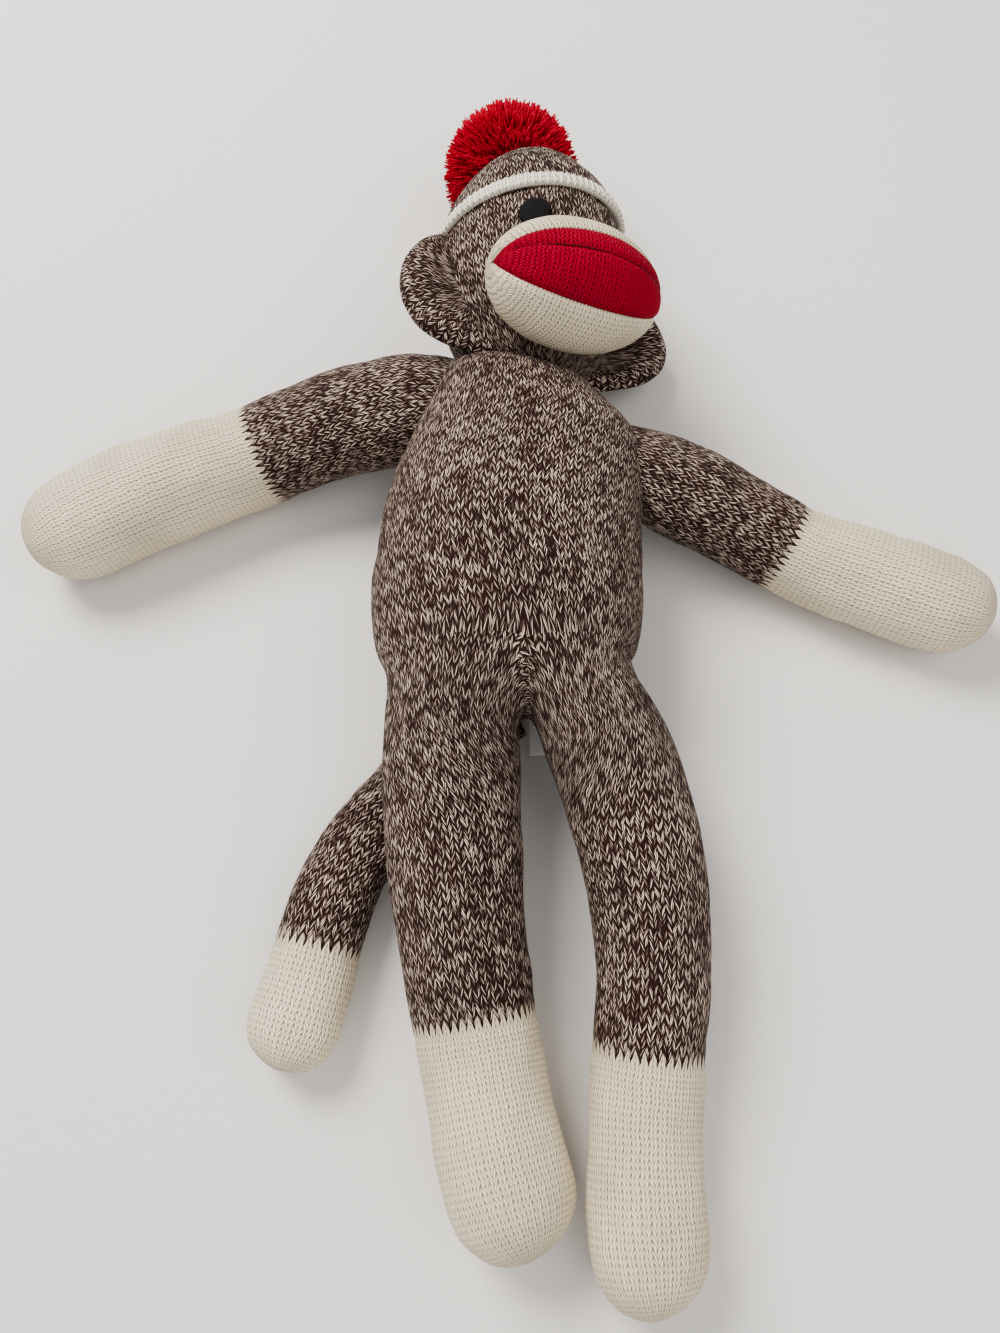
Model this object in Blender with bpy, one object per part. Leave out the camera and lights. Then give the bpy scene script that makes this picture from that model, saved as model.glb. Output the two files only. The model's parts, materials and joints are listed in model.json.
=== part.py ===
"""A knitted sock monkey doll, lying on its back on a flat surface.

Each stuffed piece is a knitted skin, open where it is sewn, with its own stuffing inside. A limb's sewn
end is a round dome that sits in a hollow of the piece that carries it, centred on the place where the
limb swings. Lengths are in metres, +X is the doll's left, +Y runs to its head and +Z is its front.
"""

import math

import bmesh
import bpy
from mathutils import Matrix, Vector

# The cloth, the seams and the room that each piece keeps from the next
SKIN_THICKNESS = 0.002
FILL_GAP = 0.0006
SEAT_GAP = 0.0003
JOINT_GAP = 0.0003
FLOOR_PRESS = 0.0005
LIMB_SIDES = 12
BODY_SIDES = 18
HEAD_SIDES = 24
ROOM_STATIONS = 8
DOME_OPENING = math.radians(45)
SHOULDER_OPENING = math.radians(72)
SWELL_SHARE = 0.35

# The torso: one tube that leans a little to the doll's left towards the neck
TORSO_LENGTH = 0.156
TORSO_WIDTH = 0.115
TORSO_DEPTH = 0.090
TORSO_FOOT_X = 0.002
TORSO_FOOT_Y = -0.088
TORSO_START_LEAN = math.radians(-3)
TORSO_END_LEAN = math.radians(11)
TORSO_WIDTH_SHARES = (
    (0.0, 0.62), (0.03, 0.78), (0.08, 0.88), (0.16, 0.95), (0.28, 1.0), (0.42, 1.0),
    (0.56, 0.99), (0.70, 0.95), (0.82, 0.86), (0.90, 0.74), (1.0, 0.44),
)
TORSO_DEPTH_SHARES = (
    (0.0, 0.34), (0.03, 0.50), (0.08, 0.64), (0.16, 0.78), (0.28, 0.92), (0.42, 1.0),
    (0.56, 1.0), (0.70, 0.95), (0.82, 0.85), (0.90, 0.74), (1.0, 0.50),
)
TORSO_MIDDLE_SHARES = (
    (0.0, 0.50), (0.16, 0.495), (0.28, 0.49), (0.42, 0.487),
    (0.56, 0.486), (0.70, 0.466), (0.86, 0.472), (1.0, 0.482),
)
TORSO_STATION_SHARES = (0.0, 0.03, 0.08, 0.16, 0.28, 0.42, 0.56, 0.70, 0.82, 0.90)

# The neck: a stub under the head, gathered with thread, that sits in the torso's top
NECK_RADIUS = 0.018
NECK_LIP = 0.005
NECK_RIM_RADIUS = 0.033
NECK_THREAD_RADIUS = 0.0008

# The head, lying on the back of its hat, turned and tucked a little towards the doll's left
HEAD_LENGTH = 0.117
HEAD_WIDTH = 0.086
HEAD_DEPTH = 0.102
HEAD_RISE = 0.003
HEAD_LEAN = math.radians(5.5)
HEAD_TURN = math.radians(34)
HEAD_TUCK = math.radians(5)
HEAD_STATIONS = 11
SHARE_SLACK = 1e-6

# The muzzle: a stuffed bulge whose poles are the corners of the mouth
MUZZLE_WIDTH = 0.079
MUZZLE_HEIGHT = 0.052
MUZZLE_DEPTH = 0.029
MUZZLE_UP = 0.0285
MUZZLE_OUT = 0.040
MUZZLE_TIP = math.radians(8)
MUZZLE_BACK = math.radians(150)
LIPS_TOP = math.radians(12)
LIPS_BOTTOM = math.radians(-57)
MOUTH_ANGLE = math.radians(-8)
MOUTH_TIP = math.radians(16)
MOUTH_THREAD_RADIUS = 0.0006

# The felt eyes
EYE_RADIUS = 0.0076
EYE_BEVEL = 0.0005
EYE_THICKNESS = 0.0015
EYE_UP = 0.0575
EYE_SIDE = 0.0218

# The knitted hat with its rolled band, and the pompom tied on its crown
HAT_THICKNESS = 0.0025
BAND_UP = 0.072
BAND_WIDTH = 0.009
BAND_THICKNESS = 0.0038
BAND_TILT = math.radians(5)
BAND_ROLL_SHARE = 0.6
BAND_ROLL_POINTS = 7
POMPOM_RADIUS = 0.0365
POMPOM_TUFT = 0.004
POMPOM_STAND = 0.028
POMPOM_TILT = math.radians(10)
TIE_LENGTH = 0.0032
TIE_RADIUS = 0.0040

# The ears: cupped crescents that fold along their seams
EAR_LENGTH = 0.054
EAR_REACH = 0.029
EAR_THICKNESS = 0.013
EAR_CUP = 0.004
EAR_ROOT_RADIUS = 0.0026
EAR_SUNK = 0.008
EAR_UP = 0.042
RIGHT_EAR_BACK = math.radians(6)
LEFT_EAR_BACK = math.radians(-14)
EAR_FOLD_BACK = math.radians(-15)
EAR_FOLD_FRONT = math.radians(30)

# The arms: tubes that change to cream yarn at the wrist
SHOULDER_RADIUS = 0.0155
SHOULDER_REACH = 0.022
SHOULDER_SWING = math.radians(20)
SHOULDER_LIFT = math.radians(60)
KNOT_RADIUS = 0.0012
RIGHT_SHOULDER_SHARE = 0.93
RIGHT_SHOULDER_HEIGHT = 0.041
RIGHT_ARM_LENGTH = 0.1044
RIGHT_ARM_RADIUS = 0.0242
RIGHT_ARM_HEADING = math.radians(172.9)
RIGHT_ARM_BEND = math.radians(27)
RIGHT_HAND_LENGTH = 0.1119
RIGHT_HAND_BEND = math.radians(14.0)
LEFT_SHOULDER_SHARE = 0.81
LEFT_SHOULDER_HEIGHT = 0.040
LEFT_ARM_LENGTH = 0.0815
LEFT_ARM_RADIUS = 0.0206
LEFT_ARM_HEADING = math.radians(-22.0)
LEFT_ARM_BEND = math.radians(-4)
LEFT_HAND_LENGTH = 0.0875
LEFT_HAND_BEND = math.radians(8.9)
ARM_SHARES = ((0.0, 1.0), (0.3, 1.05), (0.6, 1.02), (1.0, 0.96))
HAND_SHARES = ((0.0, 1.0), (0.3, 1.06), (0.6, 1.10), (0.76, 1.06))
HAND_TIP_SHARE = 0.24

# The legs: tubes that change to cream yarn at the ankle
HIP_SHARE = 0.96
HIP_IN = 0.002
HIP_FLEX = math.radians(90)
HIP_REACH = 0.050
CROTCH_WALL = 0.003
RIGHT_HIP_X = -0.0190
RIGHT_LEG_LENGTH = 0.1328
RIGHT_LEG_RADIUS = 0.0266
RIGHT_LEG_HEADING = math.radians(-91.8)
RIGHT_LEG_BEND = math.radians(13)
RIGHT_FOOT_LENGTH = 0.0722
RIGHT_FOOT_BEND = math.radians(10.6)
LEFT_LEG_LENGTH = 0.1460
LEFT_LEG_RADIUS = 0.0238
LEFT_LEG_HEADING = math.radians(-61.1)
LEFT_LEG_BEND = math.radians(-35)
LEFT_FOOT_LENGTH = 0.0760
LEFT_FOOT_BEND = math.radians(14.0)
LEG_SHARES = ((0.0, 1.0), (0.2, 1.04), (0.4, 1.0), (0.7, 0.90), (1.0, 0.86))
FOOT_SHARES = ((0.0, 1.0), (0.3, 0.96), (0.62, 1.0), (0.76, 0.98))
FOOT_TIP_SHARE = 0.24

# The tail: flat where the right leg lies over it, round beyond
TAIL_ROOT_RADIUS = 0.0170
TAIL_ROOT_HEIGHT = 0.0135
TAIL_ROOT_X = -0.003
TAIL_ROOT_IN = 0.014
TAIL_ROOT_REACH = 0.024
TAIL_ROOT_LENGTH = 0.058
TAIL_ROOT_HEADING = math.radians(214)
TAIL_ROOT_BEND = math.radians(17)
TAIL_SWING = math.radians(30)
TAIL_CROSSING = 0.024
TAIL_HEIGHT = 0.0280
TAIL_RISE_SHARE = 0.6
TAIL_LENGTH = 0.083
TAIL_BEND = math.radians(27)
TAIL_TIP_LENGTH = 0.036
TAIL_TIP_BEND = math.radians(-4)
TAIL_SHARES = ((0.0, 1.0), (0.4, 1.04), (1.0, 1.0))
TAIL_TIP_SHARES = ((0.0, 1.0), (0.4, 1.08), (0.64, 1.06))
TAIL_END_SHARE = 0.36

# The care label, blank, sewn in at the back of the crotch
LABEL_WIDTH = 0.018
LABEL_LENGTH = 0.022
LABEL_THICKNESS = 0.0008
LABEL_GAP = 0.0011
LABEL_X = 0.020
LABEL_SEAM_SHARE = 0.08

# Colours: red, green, blue, alpha
MARL = (0.13, 0.085, 0.065, 1.0)
CREAM = (0.80, 0.76, 0.68, 1.0)
RED = (0.55, 0.01, 0.03, 1.0)
BLACK = (0.012, 0.012, 0.014, 1.0)
FIBRE = (0.9, 0.9, 0.88, 1.0)
THREAD = (0.05, 0.035, 0.03, 1.0)
CLOTH_ROUGHNESS = 0.95


def smooth(shares, at):
    """Read a table of shares at a place, along a curve without corners."""
    at = min(max(at, shares[0][0]), shares[-1][0])
    index = next(i for i in range(1, len(shares)) if at <= shares[i][0])
    slopes = []
    for i in (index - 1, index):
        low, high = shares[max(i - 1, 0)], shares[min(i + 1, len(shares) - 1)]
        slopes.append((high[1] - low[1]) / (high[0] - low[0]))
    (x0, y0), (x1, y1) = shares[index - 1], shares[index]
    span = x1 - x0
    t = (at - x0) / span
    bend = (2 * t**3 - 3 * t**2 + 1) * y0 + (3 * t**2 - 2 * t**3) * y1
    return bend + span * ((t**3 - 2 * t**2 + t) * slopes[0] + (t**3 - t**2) * slopes[1])


def steps(first, last, count):
    """Evenly spaced values from first to last."""
    return [first + (last - first) * i / (count - 1) for i in range(count)]


class Path:
    """The middle line of a stuffed tube: an arc seen from above, straight at its far end."""

    def __init__(self, start, heading, length, bend=0.0, end_height=None, straight=0.0, height=None):
        self.start = Vector(start)
        self.heading, self.length, self.bend = heading, length, bend
        self.bent = length - straight
        self.pitch = 0.0 if end_height is None else math.asin((end_height - self.start.z) / length)
        self.height = height

    def ahead(self, s):
        turned = self.heading + self.bend * min(max(s / self.bent, 0.0), 1.0)
        flat = math.cos(self.pitch)
        return Vector((math.cos(turned) * flat, math.sin(turned) * flat, math.sin(self.pitch)))

    def at(self, s):
        inside = min(max(s, 0.0), self.bent)
        turned = self.bend * inside / self.bent
        chord = inside if abs(turned) < 1e-9 else inside * math.sin(turned / 2) / (turned / 2)
        middle = self.heading + turned / 2
        flat = chord * math.cos(self.pitch)
        climb = inside * math.sin(self.pitch)
        point = self.start + Vector((math.cos(middle) * flat, math.sin(middle) * flat, climb))
        point += self.ahead(s) * (s - inside)
        if self.height:
            point.z = self.height(s / self.length)
        return point

    def end(self):
        return self.at(self.length)

    def end_heading(self):
        return self.heading + self.bend

    def frame(self, s):
        """The middle, the way across and the way up at a place along the tube."""
        ahead = self.ahead(s)
        across = ahead.cross(Vector((0.0, 0.0, 1.0))).normalized()
        return self.at(s), across, across.cross(ahead).normalized()


def inward(profile, distance):
    """A profile of (along, radius) moved to its inner side, with ends on the axis kept there."""
    moved = []
    for i, (s, r) in enumerate(profile):
        before, after = profile[max(i - 1, 0)], profile[min(i + 1, len(profile) - 1)]
        run, rise = after[0] - before[0], after[1] - before[1]
        if r == 0.0:
            moved.append((s + math.copysign(distance, profile[len(profile) // 2][0] - s), 0.0))
            continue
        size = math.hypot(run, rise)
        moved.append((s + rise / size * distance, r - run / size * distance))
    return moved


def lathe(profile, path, sides, height_share=None, ring=False, first_share=0.5):
    """Turn a profile about a bent middle line. A ring's profile is closed on itself.

    With a first share of a half, a flat lies underneath, and with none, a corner does.
    """
    mesh = bmesh.new()
    rows = []
    for s, r in profile:
        middle, across, up = path.frame(s)
        if r == 0.0:
            rows.append([mesh.verts.new(middle)])
            continue
        tall = height_share(s / path.length) if height_share else 1.0
        angles = [2 * math.pi * (i + first_share) / sides for i in range(sides)]
        ring_spots = [across * math.sin(a) * r - up * math.cos(a) * r * tall for a in angles]
        rows.append([mesh.verts.new(middle + spot) for spot in ring_spots])
    pairs = list(zip(rows, rows[1:]))
    if ring:
        pairs.append((rows[-1], rows[0]))
    for low, high in pairs:
        for i in range(sides):
            j = (i + 1) % sides
            corners = (low[i % len(low)], low[j % len(low)], high[j % len(high)], high[i % len(high)])
            mesh.faces.new(list(dict.fromkeys(corners)))
    return mesh


def rest_flat(mesh):
    """Cut the cloth flat where it would press into the floor."""
    for vert in mesh.verts:
        vert.co.z = max(vert.co.z, 0.0)


def material(name, colour):
    made = bpy.data.materials.new(name)
    made.use_nodes = True
    shader = made.node_tree.nodes["Principled BSDF"]
    shader.inputs["Base Color"].default_value = colour
    shader.inputs["Roughness"].default_value = CLOTH_ROUGHNESS
    made.diffuse_color = colour
    return made


def body(name, pivot, parent=None):
    """An empty on a joint's axis that carries the pieces which move together."""
    empty = bpy.data.objects.new(name + "_pivot", None)
    bpy.context.scene.collection.objects.link(empty)
    empty.parent = parent
    held = parent["place"] if parent else (0.0, 0.0, 0.0)
    empty["place"] = tuple(pivot)
    empty.location = Vector(pivot) - Vector(held)
    return empty


def place(mesh, name, carrier, cloth=None):
    """Make a mesh built in world places into an object carried by a body."""
    bmesh.ops.translate(mesh, verts=mesh.verts, vec=-Vector(carrier["place"]))
    bmesh.ops.recalc_face_normals(mesh, faces=mesh.faces)
    data = bpy.data.meshes.new(name)
    mesh.to_mesh(data)
    mesh.free()
    data.shade_smooth()
    data.set_sharp_from_angle(angle=math.radians(50))
    made = bpy.data.objects.new(name, data)
    bpy.context.scene.collection.objects.link(made)
    made.parent = carrier
    if cloth:
        data.materials.append(cloth)
    else:
        made.hide_render = True
        made.display_type = "WIRE"
    return made


def cut(target, cutter, operation="DIFFERENCE"):
    step = target.modifiers.new(cutter.name, "BOOLEAN")
    step.operation = operation
    step.solver = "EXACT"
    step.object = cutter


def dome(radius, first, count, last=math.pi / 2):
    """The sewn end of a tube: an arc about the start of its middle line."""
    return [(-radius * math.cos(a), radius * math.sin(a)) for a in steps(first, last, count)]


def tip(length, share, radius, count):
    """The rounded end of a tube, as a quarter ellipse down to its axis."""
    first = length * (1 - share)
    angles = steps(0.0, math.pi / 2, count)
    arc = [(first + length * share * math.sin(a), radius * math.cos(a)) for a in angles]
    return arc[:-1] + [(length, 0.0)]


def around(radius, sides, step):
    """The radius of a faceted hollow that clears a ball of this radius all round."""
    return radius / math.cos(math.pi / sides) / math.cos(step / 2)


def with_hollow(fill, radius, centre, sides, count=5):
    """Filling whose far end is hollowed, round the centre where the next piece's dome sits."""
    last, edge = fill[-1]
    hollow = around(radius, sides, math.pi / 2 / count)
    on_ball = math.sqrt(hollow**2 - (centre - last) ** 2)
    if on_ball > edge - FILL_GAP:
        fill, on_ball = fill[:-1], edge
    arc = steps(math.asin(on_ball / hollow), 0.0, count)
    round_end = [(centre - hollow * math.cos(a), hollow * math.sin(a)) for a in arc[:-1]]
    return fill + round_end + [(centre - hollow, 0.0)]


def lip_back(radius, sides=LIMB_SIDES):
    """How far a tube's edge stops short of the next pivot, so that it just clears the dome there."""
    inner = (radius - SKIN_THICKNESS) * math.cos(math.pi / sides)
    return math.sqrt((radius + JOINT_GAP) ** 2 - inner**2)


def stuffed(name, path, outer, carrier, cloth, sides=LIMB_SIDES, height_share=None, next_radius=None):
    """A knitted skin and its stuffing.

    The skin is open at its sewn end and, before a next piece, at its far end.
    """
    fill = inward(outer, SKIN_THICKNESS + FILL_GAP)
    closed = outer[-1][1] == 0.0
    inner = inward(outer, SKIN_THICKNESS)
    turn = list(reversed(outer)) + inner if closed else outer + list(reversed(inner))
    skin = lathe(turn, path, sides, height_share, ring=not closed)
    rest_flat(skin)
    start = math.hypot(fill[0][0], fill[0][1])
    fill = [(-start, 0.0)] + fill
    if not closed:
        fill = with_hollow(fill, next_radius + JOINT_GAP, path.length, sides)
    made = place(skin, name + "_skin", carrier, cloth)
    place(lathe(fill, path, sides, height_share), name + "_stuffing", carrier, CLOTHS["fibre"])
    return made


def swell(start_radius, radius, shares, at):
    """A tube's radius where it grows out of its sewn end and then follows a table of shares."""
    grown = min(at / SWELL_SHARE, 1.0)
    grown = grown * grown * (3 - 2 * grown)
    return start_radius * (1 - grown) + radius * smooth(shares, at) * grown


def fullest(shares):
    return max(share for _, share in shares)


def rest_height(radius, sides=LIMB_SIDES):
    """How high a round tube's middle lies when its lowest face is on the floor."""
    return radius * math.cos(math.pi / sides) - FLOOR_PRESS


def limb(
    name, start, heading, length, bend, start_radius, radius, shares, end_height, carrier, cloth, stations=6,
    opening=DOME_OPENING,
):
    """The first length of a limb, from its sewn dome to the edge where the next length bends."""
    next_radius = radius * shares[-1][1]
    path = Path(start, heading, length, bend, end_height, next_radius + JOINT_GAP)
    places = steps(0.0, length - lip_back(next_radius), stations + 1)[1:]
    outer = dome(start_radius, opening, 3)
    outer += [(s, swell(start_radius, radius, shares, s / length)) for s in places]
    stuffed(name, path, outer, carrier, cloth, next_radius=next_radius)
    return path, next_radius


def stub(start_radius, radius, shares, length, reach):
    """The first stretch of a limb, as the places that its carrier must keep clear."""
    return [(s, swell(start_radius, radius, shares, s / length)) for s in steps(0.0, reach, 5)]


def limb_end(name, before, bend, length, radius, shares, tip_share, carrier, cloth):
    """The far length of a limb: a hand, a foot or the tail's end, with a rounded tip."""
    path = Path(before.end(), before.end_heading(), length, bend)
    places = steps(0.0, length * (1 - tip_share), 4)[1:-1]
    outer = dome(radius * shares[0][1], DOME_OPENING, 3)
    outer += [(s, radius * smooth(shares, s / length)) for s in places]
    outer += tip(length, tip_share, radius * shares[-1][1], 4)
    stuffed(name, path, outer, carrier, cloth)
    return path


def torso_width(share):
    return TORSO_WIDTH / 2 * smooth(TORSO_WIDTH_SHARES, share)


def torso_height_share(share):
    return TORSO_DEPTH * smooth(TORSO_DEPTH_SHARES, share) / 2 / torso_width(share)


def torso_path():
    start = (TORSO_FOOT_X, TORSO_FOOT_Y, 0.0)
    lean = TORSO_END_LEAN - TORSO_START_LEAN
    heading = math.pi / 2 - TORSO_START_LEAN
    return Path(
        start, heading, TORSO_LENGTH, -lean, straight=NECK_RADIUS,
        height=lambda share: TORSO_DEPTH * smooth(TORSO_MIDDLE_SHARES, share),
    )


def torso_tall(share):
    """Round at the neck, and the torso's own depth elsewhere."""
    last = TORSO_STATION_SHARES[-1]
    round_part = min(max(share - last, 0.0) / (1 - NECK_LIP / TORSO_LENGTH - last), 1.0)
    return torso_height_share(min(share, last)) * (1 - round_part) + round_part


def build_torso(spine, root):
    """The body's tube: its skin, the room inside the skin and the filling, all still whole at the neck."""
    top = TORSO_LENGTH - NECK_LIP
    outer = [(0.0, 0.0)] + [(share * TORSO_LENGTH, torso_width(share)) for share in TORSO_STATION_SHARES]
    outer += [(top, NECK_RIM_RADIUS), (top, 0.0)]
    whole = lathe(outer, spine, BODY_SIDES, torso_tall)
    rest_flat(whole)
    skin = place(whole, "torso_skin", root, CLOTHS["marl"])
    inner = lathe(inward(outer, SKIN_THICKNESS), spine, BODY_SIDES, torso_tall)
    inside = place(inner, "torso_inside_cutter", root)
    cut(skin, inside)
    fill = lathe(inward(outer, SKIN_THICKNESS + FILL_GAP), spine, BODY_SIDES, torso_tall)
    filling = place(fill, "torso_stuffing", root, CLOTHS["fibre"])
    for target, room in ((skin, JOINT_GAP), (filling, JOINT_GAP + FILL_GAP)):
        ball = bmesh.new()
        radius = around(NECK_RADIUS + room, BODY_SIDES, math.pi / BODY_SIDES)
        place_ball = Matrix.Translation(spine.end())
        bmesh.ops.create_uvsphere(ball, u_segments=24, v_segments=18, radius=radius, matrix=place_ball)
        cut(target, place(ball, f"neck_{target.name}_cutter", root))
    return skin, inside, filling


def sewn_room(path, stub, turns, grow, height_share=None):
    """The room that a limb's sewn end takes up, over all the turns that it makes about its pivot."""
    room = around(stub[0][1] + grow, LIMB_SIDES, math.pi / 2 / (ROOM_STATIONS - 1))
    profile = dome(room, 0.0, ROOM_STATIONS) + [(s, r + grow) for s, r in stub if s > 0.0]
    profile[0] = (-room, 0.0)
    profile.append((profile[-1][0] + grow, 0.0))
    swept = lathe(profile, path, LIMB_SIDES, height_share, first_share=0.0)
    reached = [vert.co.copy() for vert in swept.verts if (vert.co - path.start).dot(path.ahead(0.0)) > grow]
    swept.faces.ensure_lookup_table()
    bmesh.ops.delete(swept, geom=swept.faces, context="FACES_ONLY")
    bmesh.ops.delete(swept, geom=swept.edges, context="EDGES_FACES")
    for turn in turns:
        for spot in reached:
            swept.verts.new(path.start + turn @ (spot - path.start))
    hull = bmesh.ops.convex_hull(swept, input=swept.verts)
    spare = [piece for piece in hull["geom_interior"] if isinstance(piece, bmesh.types.BMVert)]
    bmesh.ops.delete(swept, geom=spare, context="VERTS")
    bmesh.ops.dissolve_limit(swept, angle_limit=math.radians(3), verts=swept.verts, edges=swept.edges)
    bmesh.ops.triangulate(swept, faces=swept.faces)
    return swept


def carve(torso, name, root, path, stub, turns, height_share=None):
    """Sink the hollow of a sewn end into the torso. The skin lines it, and the filling clears the lining."""
    skin, inside, filling = torso
    lining = JOINT_GAP + SKIN_THICKNESS
    for target, grow in ((skin, JOINT_GAP), (inside, lining), (filling, lining + FILL_GAP)):
        room = sewn_room(path, stub, turns, grow, height_share)
        cut(target, place(room, f"{name}_{target.name}_cutter", root))


def turned(axis, angles):
    return [Matrix.Rotation(angle, 3, axis) for angle in angles]


def build_arm(side, torso, spine, root):
    right = side == "right"
    share = RIGHT_SHOULDER_SHARE if right else LEFT_SHOULDER_SHARE
    middle, across, _ = spine.frame(share * TORSO_LENGTH)
    pivot = middle + across * torso_width(share) * (-1 if right else 1)
    pivot.z = RIGHT_SHOULDER_HEIGHT if right else LEFT_SHOULDER_HEIGHT
    radius = RIGHT_ARM_RADIUS if right else LEFT_ARM_RADIUS
    length = RIGHT_ARM_LENGTH if right else LEFT_ARM_LENGTH
    heading = RIGHT_ARM_HEADING if right else LEFT_ARM_HEADING
    knot_body = body(f"shoulder_{side}", pivot, root)
    arm_body = body(f"arm_{side}", pivot, knot_body)
    wrist_radius = radius * ARM_SHARES[-1][1]
    path, _ = limb(
        f"arm_{side}", pivot, heading, length, RIGHT_ARM_BEND if right else LEFT_ARM_BEND,
        SHOULDER_RADIUS, radius, ARM_SHARES, rest_height(wrist_radius * fullest(HAND_SHARES)),
        arm_body, CLOTHS["marl"], opening=SHOULDER_OPENING,
    )
    hand_body = body(f"hand_{side}", path.end(), arm_body)
    limb_end(
        f"hand_{side}", path, RIGHT_HAND_BEND if right else LEFT_HAND_BEND,
        RIGHT_HAND_LENGTH if right else LEFT_HAND_LENGTH,
        wrist_radius, HAND_SHARES, HAND_TIP_SHARE, hand_body, CLOTHS["cream"],
    )
    clear = stub(SHOULDER_RADIUS, radius, ARM_SHARES, length, SHOULDER_REACH)
    ahead = path.ahead(0.0)
    lift_axis = ahead.cross(Vector((0.0, 0.0, 1.0)))
    turns = turned("Z", (-SHOULDER_SWING, SHOULDER_SWING))
    turns += [turn @ Matrix.Rotation(SHOULDER_LIFT, 3, lift_axis) for turn in turns]
    carve(torso, f"shoulder_{side}", root, path, clear, turns)
    knot = bmesh.new()
    stuffing_end = SHOULDER_RADIUS - SKIN_THICKNESS - FILL_GAP
    spot = Matrix.Translation(pivot - ahead * (stuffing_end + SEAT_GAP + KNOT_RADIUS))
    bmesh.ops.create_icosphere(knot, subdivisions=1, radius=KNOT_RADIUS, matrix=spot)
    place(knot, f"shoulder_knot_{side}", knot_body, CLOTHS["thread"])


def hip_apart():
    """How far apart the hips stand, so that a wall of cloth is left between their hollows."""
    sizes = RIGHT_LEG_RADIUS * HIP_SHARE, LEFT_LEG_RADIUS * HIP_SHARE
    step = math.pi / 2 / (ROOM_STATIONS - 1)
    return CROTCH_WALL + sum(around(size + JOINT_GAP, LIMB_SIDES, step) for size in sizes)


def build_leg(side, torso, root):
    right = side == "right"
    radius = RIGHT_LEG_RADIUS if right else LEFT_LEG_RADIUS
    length = RIGHT_LEG_LENGTH if right else LEFT_LEG_LENGTH
    hip_radius = radius * HIP_SHARE
    pivot = Vector((RIGHT_HIP_X + (0.0 if right else hip_apart()), TORSO_FOOT_Y + HIP_IN, hip_height()))
    leg_body = body(f"leg_{side}", pivot, root)
    ankle = rest_height(radius * LEG_SHARES[-1][1])
    path, ankle_radius = limb(
        f"leg_{side}", pivot, RIGHT_LEG_HEADING if right else LEFT_LEG_HEADING, length,
        RIGHT_LEG_BEND if right else LEFT_LEG_BEND,
        hip_radius, radius, LEG_SHARES, ankle, leg_body, CLOTHS["marl"], 7,
    )
    foot_body = body(f"foot_{side}", path.end(), leg_body)
    limb_end(
        f"foot_{side}", path, RIGHT_FOOT_BEND if right else LEFT_FOOT_BEND,
        RIGHT_FOOT_LENGTH if right else LEFT_FOOT_LENGTH,
        ankle_radius, FOOT_SHARES, FOOT_TIP_SHARE, foot_body, CLOTHS["cream"],
    )
    clear = stub(hip_radius, radius, LEG_SHARES, length, HIP_REACH)
    turns = turned("X", [-angle for angle in steps(0.0, HIP_FLEX, 4)[1:]])
    carve(torso, f"hip_{side}", root, path, clear, turns)


def hip_height():
    """The hip stands high enough for the right leg to clear the tail that it lies over."""
    full = RIGHT_LEG_RADIUS * math.cos(math.pi / LIMB_SIDES) * fullest(LEG_SHARES)
    over_tail = TAIL_ROOT_HEIGHT + SEAT_GAP + full
    ankle = rest_height(RIGHT_LEG_RADIUS * LEG_SHARES[-1][1])
    crossing_share = TAIL_CROSSING / RIGHT_LEG_LENGTH
    return (over_tail - ankle * crossing_share) / (1 - crossing_share)


def tail_share(height):
    """How flat the tail is pressed where it stands this high."""
    return height / 2 / TAIL_ROOT_RADIUS / math.cos(math.pi / LIMB_SIDES)


def tail_rise(share):
    """The tail's flatness, from where the leg lies over it to where it is free."""
    grown = min(max(share, 0.0) / TAIL_RISE_SHARE, 1.0)
    grown = grown * grown * (3 - 2 * grown)
    return tail_share(TAIL_ROOT_HEIGHT) * (1 - grown) + tail_share(TAIL_HEIGHT) * grown


def tail_middle(share):
    return TAIL_ROOT_RADIUS * tail_rise(share) * math.cos(math.pi / LIMB_SIDES) - FLOOR_PRESS


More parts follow.
